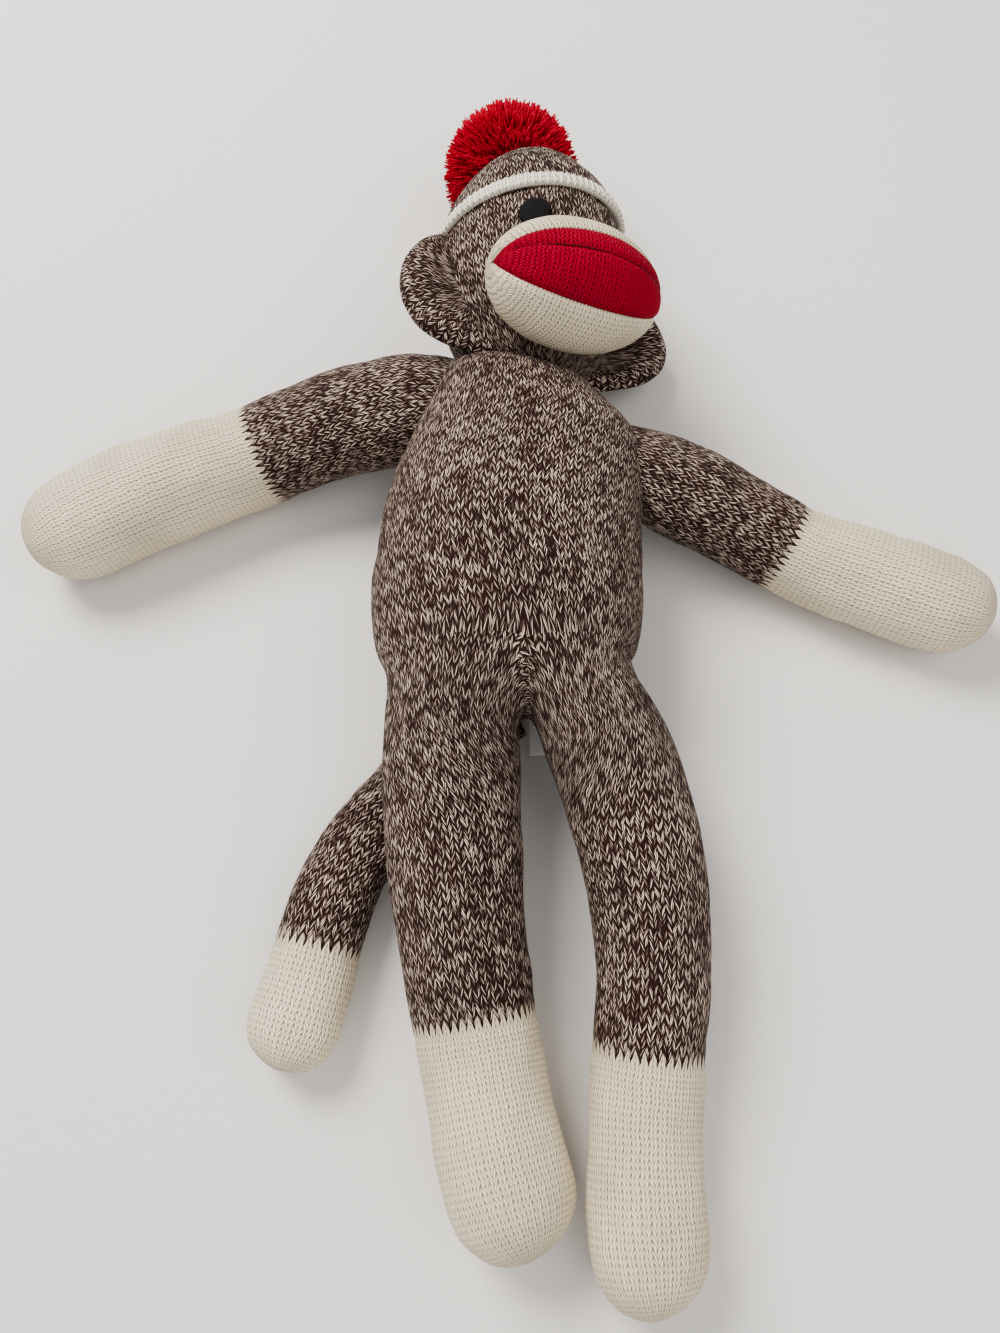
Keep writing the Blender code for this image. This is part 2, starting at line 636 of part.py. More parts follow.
def build_tail(torso, root):
    radius = TAIL_ROOT_RADIUS
    back = lip_back(radius)
    straight = radius + JOINT_GAP
    pivot = Vector((TAIL_ROOT_X, TORSO_FOOT_Y + TAIL_ROOT_IN, tail_middle(0.0)))
    root_body = body("tail_root", pivot, root)
    first = Path(pivot, TAIL_ROOT_HEADING, TAIL_ROOT_LENGTH, TAIL_ROOT_BEND, straight=straight)
    outer = dome(radius, DOME_OPENING, 3)
    outer += [(s, radius) for s in steps(0.0, TAIL_ROOT_LENGTH - back, 4)[1:]]
    stuffed(
        "tail_root", first, outer, root_body, CLOTHS["marl"], LIMB_SIDES, lambda share: tail_rise(0.0), radius
    )
    tail_body = body("tail", first.end(), root_body)
    second = Path(
        first.end(), first.end_heading(), TAIL_LENGTH, TAIL_BEND, straight=straight, height=tail_middle
    )
    outer = dome(radius, DOME_OPENING, 3)
    places = steps(0.0, TAIL_LENGTH - back, 8)[1:]
    outer += [(s, radius * smooth(TAIL_SHARES, s / TAIL_LENGTH)) for s in places]
    stuffed("tail", second, outer, tail_body, CLOTHS["marl"], LIMB_SIDES, tail_rise, radius)
    tip_body = body("tail_tip", second.end(), tail_body)
    third = Path(second.end(), second.end_heading(), TAIL_TIP_LENGTH, TAIL_TIP_BEND)
    outer = dome(radius, DOME_OPENING, 3)
    places = steps(0.0, TAIL_TIP_LENGTH * (1 - TAIL_END_SHARE), 3)[1:-1]
    outer += [(s, radius * smooth(TAIL_TIP_SHARES, s / TAIL_TIP_LENGTH)) for s in places]
    outer += tip(TAIL_TIP_LENGTH, TAIL_END_SHARE, radius * TAIL_TIP_SHARES[-1][1], 4)
    stuffed("tail_tip", third, outer, tip_body, CLOTHS["cream"], LIMB_SIDES, lambda share: tail_rise(1.0))
    clear = [(s, radius) for s in steps(0.0, TAIL_ROOT_REACH, 4)]
    turns = turned("Z", [-angle for angle in steps(0.0, TAIL_SWING, 3)[1:]])
    flat = (tail_middle(0.0) + FLOOR_PRESS + JOINT_GAP) / radius
    carve(torso, "tail", root, first, clear, turns, lambda share: flat)


class HeadFrame:
    """Where the head stands: its own X is the doll's left, Y runs to the crown and Z out of the face."""

    def __init__(self, neck):
        self.neck = Vector(neck)
        turn = Matrix.Rotation(HEAD_LEAN, 3, "Z") @ Matrix.Rotation(HEAD_TUCK, 3, "X")
        self.turn = turn @ Matrix.Rotation(HEAD_TURN, 3, "Y")
        self.middle = Vector((0.0, HEAD_RISE + HEAD_LENGTH / 2, 0.0))

    def world(self, x, y, z):
        return self.neck + self.turn @ Vector((x, y, z))

    def matrix(self):
        return Matrix.Translation(self.neck) @ self.turn.to_4x4()

    def surface(self, x, y, extra=0.0):
        """A place on the front of the head's egg shape, and the way out of it there."""
        wide, long, deep = HEAD_WIDTH / 2 + extra, HEAD_LENGTH / 2 + extra, HEAD_DEPTH / 2 + extra
        along = y - self.middle.y
        z = deep * math.sqrt(1 - (x / wide) ** 2 - (along / long) ** 2)
        out = Vector((x / wide**2, along / long**2, z / deep**2)).normalized()
        return Vector((x, y, z)), out


class HeadPath(Path):
    """The head's own axis, from the neck to the crown, for turning its rounds."""

    def __init__(self, head):
        super().__init__(head.neck, 0.0, HEAD_RISE + HEAD_LENGTH)
        self.head = head

    def frame(self, s):
        turn = self.head.turn
        return self.head.world(0.0, s, 0.0), turn @ Vector((1.0, 0.0, 0.0)), turn @ Vector((0.0, 0.0, 1.0))


def head_angles():
    return steps(neck_meets_head()[1], math.pi, HEAD_STATIONS)


def head_profile(extra=0.0):
    """Half the head's egg shape beyond the neck, as places along its axis with their half widths."""
    long, wide = HEAD_LENGTH / 2 + extra, HEAD_WIDTH / 2 + extra
    middle = HEAD_RISE + HEAD_LENGTH / 2
    arc = [(middle - long * math.cos(a), wide * math.sin(a)) for a in head_angles()]
    return arc[:-1] + [(middle + long, 0.0)]


def head_tall(share):
    return HEAD_DEPTH / HEAD_WIDTH


def neck_meets_head():
    """The angles, on the neck's ball and on the head's egg shape, where one runs into the other."""
    middle = HEAD_RISE + HEAD_LENGTH / 2
    low, high = 0.0, NECK_RADIUS
    for _ in range(40):
        s = (low + high) / 2
        ball = math.sqrt(NECK_RADIUS**2 - s**2)
        egg = HEAD_WIDTH / 2 * math.sqrt(max(1 - ((middle - s) / (HEAD_LENGTH / 2)) ** 2, 0.0))
        low, high = (s, high) if egg < ball else (low, s)
    return math.pi - math.acos(low / NECK_RADIUS), math.acos((middle - low) / (HEAD_LENGTH / 2))


def build_head(head, root):
    axis = HeadPath(head)
    on_ball, _ = neck_meets_head()
    outer = dome(NECK_RADIUS, DOME_OPENING, 5, on_ball) + head_profile()[1:]
    meeting = dome(NECK_RADIUS, on_ball, 2, on_ball)[0][0] / axis.length

    def tall(share):
        """Round at the neck's ball, and the head's own depth beyond it."""
        return 1.0 if share < meeting + SHARE_SLACK else head_tall(share)

    inner = inward(outer, SKIN_THICKNESS)
    skin = lathe(list(reversed(outer)) + inner, axis, HEAD_SIDES, tall)
    rest_flat(skin)
    place(skin, "head_skin", root, CLOTHS["marl"])
    fill = inward(outer, SKIN_THICKNESS + FILL_GAP)
    fill = [(-math.hypot(*fill[0]), 0.0)] + fill
    place(lathe(fill, axis, HEAD_SIDES, tall), "head_stuffing", root, CLOTHS["fibre"])


def head_solid(name, extra, axis, root, cloth=None, flat=False):
    """The head's egg shape, grown, as the outside or the inside of what lies on the head."""
    profile = head_profile(extra)
    made = lathe([(profile[0][0], 0.0)] + profile, axis, HEAD_SIDES, head_tall)
    if flat:
        rest_flat(made)
    return place(made, name, root, cloth)


def band_place(head, angle, up, extra):
    """A place on the head's egg shape, grown, at a height above the hat's tilted edge."""
    wide, long, deep = HEAD_WIDTH / 2 + extra, HEAD_LENGTH / 2 + extra, HEAD_DEPTH / 2 + extra
    low, high = 0.0, math.pi
    for _ in range(40):
        along = (low + high) / 2
        x = wide * math.sin(angle) * math.sin(along)
        y = head.middle.y - long * math.cos(along)
        z = -deep * math.cos(angle) * math.sin(along)
        above = (y - BAND_UP) * math.cos(BAND_TILT) + z * math.sin(BAND_TILT)
        low, high = (along, high) if above < up else (low, along)
    return head.world(x, y, z)


def build_band(head, root):
    """The hat's edge, rolled to a half round that lies close to the head."""
    mesh = bmesh.new()
    rolled = [
        (BAND_WIDTH * (1 + math.sin(a)) / 2, SEAT_GAP + BAND_THICKNESS * max(math.cos(a), 0.0) ** BAND_ROLL_SHARE)
        for a in steps(-math.pi / 2, math.pi / 2, BAND_ROLL_POINTS)
    ]
    rolled.append((BAND_WIDTH / 2, SEAT_GAP))
    loops = []
    for i in range(HEAD_SIDES):
        angle = 2 * math.pi * (i + 0.5) / HEAD_SIDES
        loops.append([mesh.verts.new(band_place(head, angle, up, out)) for up, out in rolled])
    for low, high in zip(loops, loops[1:] + loops[:1]):
        for i in range(len(rolled)):
            j = (i + 1) % len(rolled)
            mesh.faces.new((low[i], low[j], high[j], high[i]))
    rest_flat(mesh)
    place(mesh, "hat_band", root, CLOTHS["cream"])


def slab(name, head, low, high, root):
    """A thick plate across the head, square to the hat's tilted edge."""
    size = HEAD_WIDTH * 2
    mesh = bmesh.new()
    bmesh.ops.create_cube(mesh, size=1.0)
    bmesh.ops.scale(mesh, vec=(size, high - low, size), verts=mesh.verts)
    bmesh.ops.translate(mesh, vec=(0.0, (low + high) / 2, 0.0), verts=mesh.verts)
    tilt = Matrix.Translation((0.0, BAND_UP, 0.0)) @ Matrix.Rotation(BAND_TILT, 4, "X")
    bmesh.ops.transform(mesh, matrix=head.matrix() @ tilt, verts=mesh.verts)
    return place(mesh, name, root)


def build_hat(head, root):
    axis = HeadPath(head)
    inside = head_solid("hat_inside_cutter", SEAT_GAP, axis, root)
    above = slab("hat_above_cutter", head, BAND_WIDTH + SEAT_GAP, HEAD_LENGTH, root)
    crown = head_solid("hat_crown", SEAT_GAP + HAT_THICKNESS, axis, root, CLOTHS["marl"], True)
    cut(crown, above, "INTERSECT")
    cut(crown, inside)
    build_band(head, root)


def muzzle_point(head, tip_angle, round_angle, less=0.0):
    """A place on the muzzle: tip_angle runs from the right corner of the mouth to the left one."""
    wide, tall, deep = MUZZLE_WIDTH / 2 - less, MUZZLE_HEIGHT / 2 - less, MUZZLE_DEPTH - less
    x = -wide * math.cos(tip_angle)
    y = MUZZLE_UP + tall * math.sin(tip_angle) * math.sin(round_angle)
    z = MUZZLE_OUT + deep * math.sin(tip_angle) * math.cos(round_angle)
    return head.world(x, y, z)


def muzzle_panel(name, head, first, last, root, cloth, cutter, rows, columns=13):
    """A strip of the muzzle's knitted skin between two angles round the mouth's corners."""
    mesh = bmesh.new()
    corners = steps(MUZZLE_TIP, math.pi - MUZZLE_TIP, columns)
    layers = []
    for less in (0.0, SKIN_THICKNESS):
        layers.append([
            [mesh.verts.new(muzzle_point(head, t, r, less)) for t in corners]
            for r in steps(first, last, rows)
        ])
    outer, inner = layers
    for i in range(rows - 1):
        for j in range(columns - 1):
            for grid in layers:
                mesh.faces.new((grid[i][j], grid[i][j + 1], grid[i + 1][j + 1], grid[i + 1][j]))
    edge = [(0, j) for j in range(columns)] + [(i, columns - 1) for i in range(1, rows)]
    edge += [(rows - 1, j) for j in reversed(range(columns - 1))]
    edge += [(i, 0) for i in reversed(range(1, rows - 1))]
    for (a, b), (c, d) in zip(edge, edge[1:] + edge[:1]):
        mesh.faces.new((outer[a][b], outer[c][d], inner[c][d], inner[a][b]))
    made = place(mesh, name, root, cloth)
    cut(made, cutter)


def build_muzzle(head, root):
    axis = HeadPath(head)
    cutter = head_solid("muzzle_cutter", SEAT_GAP, axis, root)
    room = SEAT_GAP / MUZZLE_DEPTH / 2
    panels = (
        ("muzzle_upper", LIPS_TOP + room, MUZZLE_BACK, CLOTHS["cream"], 8),
        ("lips", LIPS_BOTTOM + room, LIPS_TOP - room, CLOTHS["red"], 5),
        ("muzzle_lower", -MUZZLE_BACK, LIPS_BOTTOM - room, CLOTHS["cream"], 6),
    )
    for name, first, last, cloth, rows in panels:
        muzzle_panel(name, head, first, last, root, cloth, cutter, rows)
    fill = bmesh.new()
    bmesh.ops.create_uvsphere(fill, u_segments=20, v_segments=14, radius=1.0)
    less = SKIN_THICKNESS + FILL_GAP * 2
    bmesh.ops.rotate(fill, verts=fill.verts, matrix=Matrix.Rotation(math.pi / 2, 3, "Y"))
    size = (MUZZLE_WIDTH / 2 - less * 2, MUZZLE_HEIGHT / 2 - less, MUZZLE_DEPTH - less)
    bmesh.ops.scale(fill, vec=size, verts=fill.verts)
    bmesh.ops.translate(fill, vec=(0.0, MUZZLE_UP, MUZZLE_OUT), verts=fill.verts)
    bmesh.ops.transform(fill, matrix=head.matrix(), verts=fill.verts)
    cut(place(fill, "muzzle_stuffing", root, CLOTHS["fibre"]), cutter)
    thread = MOUTH_THREAD_RADIUS + SEAT_GAP
    points = [muzzle_point(head, t, MOUTH_ANGLE, -thread) for t in steps(MOUTH_TIP, math.pi - MOUTH_TIP, 15)]
    cord("mouth_stitch", points, MOUTH_THREAD_RADIUS, root, CLOTHS["thread"])


def cord(name, points, radius, carrier, cloth):
    """A thread laid along points, as a tube with filled ends."""
    data = bpy.data.curves.new(name, "CURVE")
    data.dimensions = "3D"
    data.bevel_depth = radius
    data.bevel_resolution = 1
    data.use_fill_caps = True
    line = data.splines.new("POLY")
    line.points.add(len(points) - 1)
    for point, spot in zip(line.points, points):
        point.co = (*(spot - Vector(carrier["place"])), 1.0)
    made = bpy.data.objects.new(name, data)
    bpy.context.scene.collection.objects.link(made)
    made.parent = carrier
    data.materials.append(cloth)


def build_eyes(head, root):
    for name, side in (("eye_right", -1), ("eye_left", 1)):
        spot, out = head.surface(EYE_SIDE * side, EYE_UP, SEAT_GAP)
        disc = bmesh.new()
        bmesh.ops.create_cone(
            disc, cap_ends=True, segments=20, radius1=EYE_RADIUS, radius2=EYE_RADIUS - EYE_BEVEL,
            depth=EYE_THICKNESS,
        )
        stand = out.to_track_quat("Z", "Y").to_matrix().to_4x4()
        centre = Matrix.Translation(spot + out * EYE_THICKNESS / 2)
        bmesh.ops.transform(disc, matrix=head.matrix() @ centre @ stand, verts=disc.verts)
        place(disc, name, root, CLOTHS["black"])


def build_ear(side, head, head_body):
    """A cupped half round, cut to the head's side all the way through its fold."""
    sign = -1 if side == "right" else 1
    back = RIGHT_EAR_BACK if side == "right" else LEFT_EAR_BACK
    start = Vector((HEAD_WIDTH / 2 * sign, EAR_UP, 0.0))
    frame = head.matrix() @ Matrix.Translation(start) @ Matrix.Rotation(back * sign, 4, "Y")
    pivot = frame.translation
    carrier = body(f"ear_{side}", pivot, head_body)
    mesh = bmesh.new()
    reach = [-EAR_SUNK] + [EAR_REACH * math.sin(a) for a in steps(0.0, math.pi / 2, 6)][:-1]
    rows = [[mesh.verts.new((-EAR_SUNK * sign, 0.0, 0.0))]]
    for x in reach:
        share = max(x, 0.0) / EAR_REACH
        half = EAR_LENGTH / 2 * math.sqrt(1 - share**2)
        thick = EAR_ROOT_RADIUS + (EAR_THICKNESS / 2 - EAR_ROOT_RADIUS) * math.sin(math.pi * share)
        cup = EAR_CUP * math.sin(math.pi * share)
        row = []
        for i in range(LIMB_SIDES):
            angle = 2 * math.pi * i / LIMB_SIDES
            rise = math.sin(angle)
            z = thick * rise - (cup * rise if rise > 0.0 else 0.0)
            row.append(mesh.verts.new((x * sign, half * math.cos(angle), z)))
        rows.append(row)
    rows.append([mesh.verts.new((EAR_REACH * sign, 0.0, 0.0))])
    for low, high in zip(rows, rows[1:]):
        for i in range(LIMB_SIDES):
            j = (i + 1) % LIMB_SIDES
            corners = (low[i % len(low)], low[j % len(low)], high[j % len(high)], high[i % len(high)])
            mesh.faces.new(list(dict.fromkeys(corners)))
    bmesh.ops.transform(mesh, matrix=frame, verts=mesh.verts)
    ear = place(mesh, f"ear_{side}", carrier, CLOTHS["marl"])
    fold_axis = head.turn @ Vector((0.0, -sign, 0.0))
    for turn in (EAR_FOLD_BACK, 0.0, EAR_FOLD_FRONT):
        profile = head_profile(SEAT_GAP)
        egg = lathe([(profile[0][0], 0.0)] + profile, HeadPath(head), HEAD_SIDES, head_tall)
        bmesh.ops.rotate(egg, verts=egg.verts, cent=pivot, matrix=Matrix.Rotation(-turn, 3, fold_axis))
        cut(ear, place(egg, f"ear_{side}_cutter", carrier))


def build_pompom(head, head_body):
    """A ball of cut yarn tied to the crown. It flops down to the floor, pressed hollow by the hat."""
    crown = HEAD_RISE + HEAD_LENGTH + SEAT_GAP * 2 + HAT_THICKNESS
    pole = head.world(0.0, crown, 0.0)
    tie = bmesh.new()
    bmesh.ops.create_cone(
        tie, cap_ends=True, segments=12, radius1=TIE_RADIUS, radius2=TIE_RADIUS, depth=TIE_LENGTH
    )
    stand = Matrix.Translation((0.0, crown + TIE_LENGTH / 2, 0.0)) @ Matrix.Rotation(math.pi / 2, 4, "X")
    bmesh.ops.transform(tie, matrix=head.matrix() @ stand, verts=tie.verts)
    place(tie, "pompom_tie", head_body, CLOTHS["red"])
    carrier = body("pompom", pole, head_body)
    ball = bmesh.new()
    bmesh.ops.create_icosphere(ball, subdivisions=3, radius=POMPOM_RADIUS - POMPOM_TUFT)
    tufts = bmesh.ops.poke(ball, faces=ball.faces)
    for vert in tufts["verts"]:
        vert.co = vert.co.normalized() * POMPOM_RADIUS
    drop = pole.z - POMPOM_RADIUS + FLOOR_PRESS
    ahead = head.turn @ Vector((0.0, 1.0, 0.0))
    ahead.z = 0.0
    centre = pole + ahead.normalized() * math.sqrt(POMPOM_STAND**2 - drop**2)
    centre.z = pole.z - drop
    bmesh.ops.translate(ball, vec=centre, verts=ball.verts)
    rest_flat(ball)
    pompom = place(ball, "pompom", carrier, CLOTHS["red"])
    tilt_axis = head.turn @ Vector((1.0, 0.0, 0.0))
    for turn in (-POMPOM_TILT, 0.0, POMPOM_TILT):
        profile = head_profile(HAT_THICKNESS + SEAT_GAP * 2)
        hat = lathe([(profile[0][0], 0.0)] + profile, HeadPath(head), HEAD_SIDES, head_tall)
        bmesh.ops.rotate(hat, verts=hat.verts, cent=pole, matrix=Matrix.Rotation(turn, 3, tilt_axis))
        cut(pompom, place(hat, "pompom_cutter", carrier))
    room = bmesh.new()
    clear = around(math.hypot(TIE_RADIUS, TIE_LENGTH) + JOINT_GAP, LIMB_SIDES, math.pi / LIMB_SIDES)
    spot = Matrix.Translation(pole)
    bmesh.ops.create_uvsphere(room, u_segments=LIMB_SIDES, v_segments=LIMB_SIDES, radius=clear, matrix=spot)
    cut(pompom, place(room, "pompom_tie_cutter", carrier))


def build_neck_thread(neck, thread_body):
    """The thread that gathers the neck, wound round the head's stub."""
    ring = NECK_RADIUS + SEAT_GAP + NECK_THREAD_RADIUS
    profile = [
        (NECK_THREAD_RADIUS * math.cos(a), ring + NECK_THREAD_RADIUS * math.sin(a))
        for a in [2 * math.pi * i / 6 for i in range(6)]
    ]
    path = Path(neck, math.pi / 2, NECK_RADIUS)
    place(lathe(profile, path, BODY_SIDES, ring=True), "neck_thread", thread_body, CLOTHS["thread"])


def build_label(spine, root):
    """A blank folded tape, sewn in under the torso's rounded lower end, between the legs."""
    middle, _, _ = spine.frame(LABEL_SEAM_SHARE * TORSO_LENGTH)
    aside = (LABEL_X - middle.x) / torso_width(LABEL_SEAM_SHARE)
    deep = TORSO_DEPTH / 2 * smooth(TORSO_DEPTH_SHARES, LABEL_SEAM_SHARE) * math.sqrt(1 - aside**2)
    mesh = bmesh.new()
    bmesh.ops.create_cube(mesh, size=1.0)
    bmesh.ops.scale(mesh, vec=(LABEL_WIDTH, LABEL_LENGTH, LABEL_THICKNESS), verts=mesh.verts)
    spot = (LABEL_X, middle.y - LABEL_LENGTH / 2, middle.z - deep - LABEL_GAP - LABEL_THICKNESS / 2)
    bmesh.ops.translate(mesh, vec=spot, verts=mesh.verts)
    place(mesh, "care_label", root, CLOTHS["cream"])


for leftover in list(bpy.data.objects):
    bpy.data.objects.remove(leftover, do_unlink=True)

CLOTHS = {
    "marl": material("marl knit", MARL),
    "cream": material("cream knit", CREAM),
    "red": material("red knit", RED),
    "black": material("black felt", BLACK),
    "fibre": material("white stuffing", FIBRE),
    "thread": material("dark thread", THREAD),
}


def main():
    spine = torso_path()
    root = body("torso", (0.0, 0.0, 0.0))
    torso = build_torso(spine, root)
    neck = spine.end()
    for side in ("right", "left"):
        build_arm(side, torso, spine, root)
        build_leg(side, torso, root)
    build_tail(torso, root)
    build_label(spine, root)
    thread_body = body("neck", neck, root)
    build_neck_thread(neck, thread_body)
    head = HeadFrame(neck)
    head_body = body("head", neck, thread_body)
    build_head(head, head_body)
    build_hat(head, head_body)
    build_muzzle(head, head_body)
    build_eyes(head, head_body)
    for side in ("right", "left"):
        build_ear(side, head, head_body)
    build_pompom(head, head_body)
    bpy.context.view_layer.update()


main()
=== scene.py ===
"""The looks of a knitted sock monkey doll that lies on its back.

Each stuffed piece is a mesh whose rows are the courses of the knitting. Its UV map counts stitches: one unit
across is one column of stitches and one unit up is one course, so the yarn follows the shape of every limb.
"""

import json
import math

import bmesh
import bpy
import numpy as np
from bpy.props import FloatProperty, FloatVectorProperty, IntProperty, PointerProperty
from mathutils import Euler, Matrix, Vector, noise


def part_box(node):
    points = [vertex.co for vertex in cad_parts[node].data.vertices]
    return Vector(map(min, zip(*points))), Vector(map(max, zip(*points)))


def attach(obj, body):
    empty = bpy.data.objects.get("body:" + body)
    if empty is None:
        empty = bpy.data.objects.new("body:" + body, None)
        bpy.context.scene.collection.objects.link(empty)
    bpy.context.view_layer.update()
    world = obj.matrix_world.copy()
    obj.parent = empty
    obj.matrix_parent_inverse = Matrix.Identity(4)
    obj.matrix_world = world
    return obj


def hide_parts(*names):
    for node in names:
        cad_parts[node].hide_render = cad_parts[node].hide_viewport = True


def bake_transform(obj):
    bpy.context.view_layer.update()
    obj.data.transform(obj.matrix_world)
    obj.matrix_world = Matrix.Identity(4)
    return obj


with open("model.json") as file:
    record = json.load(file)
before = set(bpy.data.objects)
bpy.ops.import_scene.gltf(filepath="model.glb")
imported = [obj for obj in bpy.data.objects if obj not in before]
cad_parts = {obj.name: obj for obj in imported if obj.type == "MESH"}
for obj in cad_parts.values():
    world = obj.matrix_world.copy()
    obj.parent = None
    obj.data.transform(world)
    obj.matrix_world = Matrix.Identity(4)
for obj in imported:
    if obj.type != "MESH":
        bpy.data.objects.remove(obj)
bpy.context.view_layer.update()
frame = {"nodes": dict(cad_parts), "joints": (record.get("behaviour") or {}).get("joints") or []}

bl_info = {
    "name": "Knitted Sock Monkey",
    "version": (1, 0, 0),
    "blender": (4, 5, 0),
    "location": "View3D > Sidebar > Sock Monkey",
    "description": "Dresses a jointed doll in knitted cloth, felt and yarn",
    "category": "Object",
}

# The body's length, half width, half depth and height. The tables give shares of these along its length
TORSO_LENGTH, TORSO_WIDE, TORSO_DEEP, TORSO_HIGH = 0.156, 0.0575, 0.045, 0.090
TORSO_ROWS = (0.15, 0.20, 0.27, 0.35, 0.44, 0.53, 0.62, 0.70, 0.78, 0.85, 0.91, 0.96, 1.0, 1.03)
TORSO_WIDTHS = (
    (0.0, 0.62), (0.03, 0.78), (0.08, 0.88), (0.16, 0.95), (0.28, 1.0), (0.42, 1.0),
    (0.56, 0.99), (0.70, 0.95), (0.82, 0.88), (0.90, 0.80), (0.96, 0.72), (1.0, 0.64), (1.03, 0.52),
)
TORSO_DEPTHS = (
    (0.0, 0.34), (0.03, 0.50), (0.08, 0.64), (0.16, 0.78), (0.28, 0.92), (0.42, 1.0),
    (0.56, 1.0), (0.70, 0.96), (0.82, 0.88), (0.90, 0.79), (1.0, 0.62), (1.03, 0.50),
)
TORSO_MIDDLES = (
    (0.0, 0.50), (0.16, 0.495), (0.28, 0.49), (0.42, 0.487),
    (0.56, 0.486), (0.70, 0.466), (0.86, 0.472), (1.0, 0.482),
)
NECK_HIGH = 0.0434
# The cage of the body and legs has wide columns, and the rings of a leg lie at these places along it
BODY_COLUMNS = 32
HALF_COLUMNS = BODY_COLUMNS // 2
ARCH_COLUMNS = 6
LEG_COLUMNS = HALF_COLUMNS + ARCH_COLUMNS
LEG_PLACES = (-0.002, 0.008, 0.020, 0.034, 0.050, 0.066, 0.082, 0.098, 0.110)
TUBE_COLUMNS = 72


def eased(table, at):
    """Read a table of (place, value) along a smooth curve."""
    at = min(max(at, table[0][0]), table[-1][0])
    index = next(i for i in range(1, len(table)) if at <= table[i][0])
    slopes = []
    for i in (index - 1, index):
        low, high = table[max(i - 1, 0)], table[min(i + 1, len(table) - 1)]
        slopes.append((high[1] - low[1]) / (high[0] - low[0]))
    (x0, y0), (x1, y1) = table[index - 1], table[index]
    span = x1 - x0
    t = (at - x0) / span
    value = (2 * t**3 - 3 * t**2 + 1) * y0 + (3 * t**2 - 2 * t**3) * y1
    return value + span * ((t**3 - 2 * t**2 + t) * slopes[0] + (t**3 - t**2) * slopes[1])


def ramp(value, low, high):
    """A smooth step from 0 at low to 1 at high."""
    t = min(max((value - low) / (high - low), 0.0), 1.0)
    return t * t * (3 - 2 * t)


def turns(count):
    """Evenly spaced angles of one full turn."""
    return [math.tau * j / count for j in range(count)]


BODY_ANGLES = [math.pi / 2 + angle for angle in turns(BODY_COLUMNS)]


def pivot(joint):
    return Vector(next(j["pos_m"] for j in frame["joints"] if j["name"] == joint))


class Line:
    """The middle line of a stuffed tube: an arc seen from above that ends straight and rises evenly."""

    def __init__(self, start, heading, length, bend, end_height=None, straight=0.0):
        self.start, self.heading, self.length, self.bend = Vector(start), heading, length, bend
        self.bent = length - straight
        self.pitch = 0.0 if end_height is None else math.asin((end_height - self.start.z) / length)

    def ahead(self, s):
        turn = self.heading + self.bend * min(max(s / self.bent, 0.0), 1.0)
        flat = math.cos(self.pitch)
        return Vector((math.cos(turn) * flat, math.sin(turn) * flat, math.sin(self.pitch)))

    def at(self, s):
        inside = min(max(s, 0.0), self.bent)
        turn = self.bend * inside / self.bent / 2
        chord = inside * (math.sin(turn) / turn if abs(turn) > 1e-6 else 1.0)
        flat, way = chord * math.cos(self.pitch), self.heading + turn
        rise = inside * math.sin(self.pitch)
        point = self.start + Vector((math.cos(way) * flat, math.sin(way) * flat, rise))
        return point + self.ahead(s) * (s - inside)

    def end(self):
        return self.at(self.length)

    def end_heading(self):
        return self.heading + self.bend

    def frame(self, s):
        ahead = self.ahead(s)
        across = ahead.cross(Vector((0, 0, 1))).normalized()
        return self.at(s), across, across.cross(ahead)


def line_between(start, end, heading, bend, length, straight):
    """The middle line that leaves one pivot with this heading and ends at the next pivot."""
    return Line(start, math.radians(heading), length, math.radians(bend), end.z, straight)


class Limb:
    """A limb's whole middle line, from its root over its joint to its tip."""

    def __init__(self, first, length, bend):
        self.first = first
        self.second = Line(first.end(), first.end_heading(), length, bend)
        self.length = first.length + length

    def frame(self, s):
        joint = self.first.length
        share = ramp(s, joint - 0.02, joint + 0.02)
        ahead = self.first.ahead(s).lerp(self.second.ahead(s - joint), share).normalized()
        across = ahead.cross(Vector((0, 0, 1))).normalized()
        return self.first.at(s).lerp(self.second.at(s - joint), share), across, across.cross(ahead)


def jointed(root, joint, heading, bend, length, straight, end_length, end_bend):
    """A limb that starts at one pivot, bends at the next and has a hand or a foot beyond it."""
    first = line_between(pivot(root), pivot(joint), heading, bend, length, straight)
    return Limb(first, end_length, math.radians(end_bend))


def thickness(limb, radius, upper, lower):
    """A limb's radius at any place, read from one table before its joint and from another beyond it."""
    joint = limb.first.length

    def radii(s):
        if s < joint:
            return radius * eased(upper, s / joint)
        return radius * eased(upper, 1.0) * eased(lower, (s - joint) / limb.second.length)

    return radii


def settle(points):
    """Press the cloth against the floor with a soft edge."""
    low, soft = 0.0003, 0.0011
    points[:, 2] = low + soft * np.logaddexp(0.0, (points[:, 2] - low) / soft)
    return points


def lumps(points, normals, amount, size):
    """Push points in and out a little, as loose stuffing does. Pieces that meet move alike."""
    moves = np.array([noise.noise(Vector(p) / size) for p in points])
    return points + normals * (moves * amount)[:, None]


def link(mesh, name):
    made = bpy.data.objects.new(name, mesh)
    bpy.context.scene.collection.objects.link(made)
    return made


def make_mesh(name, points, faces, marks, parts=None):
    """A mesh with stitch marks, one (column, course) for each corner of each face."""
    mesh = bpy.data.meshes.new(name)
    mesh.from_pydata([tuple(p) for p in points], [], faces)
    layer = mesh.uv_layers.new(name="stitches")
    layer.data.foreach_set("uv", np.array(marks, np.float32).reshape(-1))
    if parts:
        mesh.polygons.foreach_set("material_index", parts)
    mesh.shade_smooth()
    return mesh


def outward(mesh):
    """Turn the faces of a closed or nearly closed mesh outwards."""
    shell = bmesh.new()
    shell.from_mesh(mesh)
    bmesh.ops.recalc_face_normals(shell, faces=shell.faces)
    shell.to_mesh(mesh)
    shell.free()


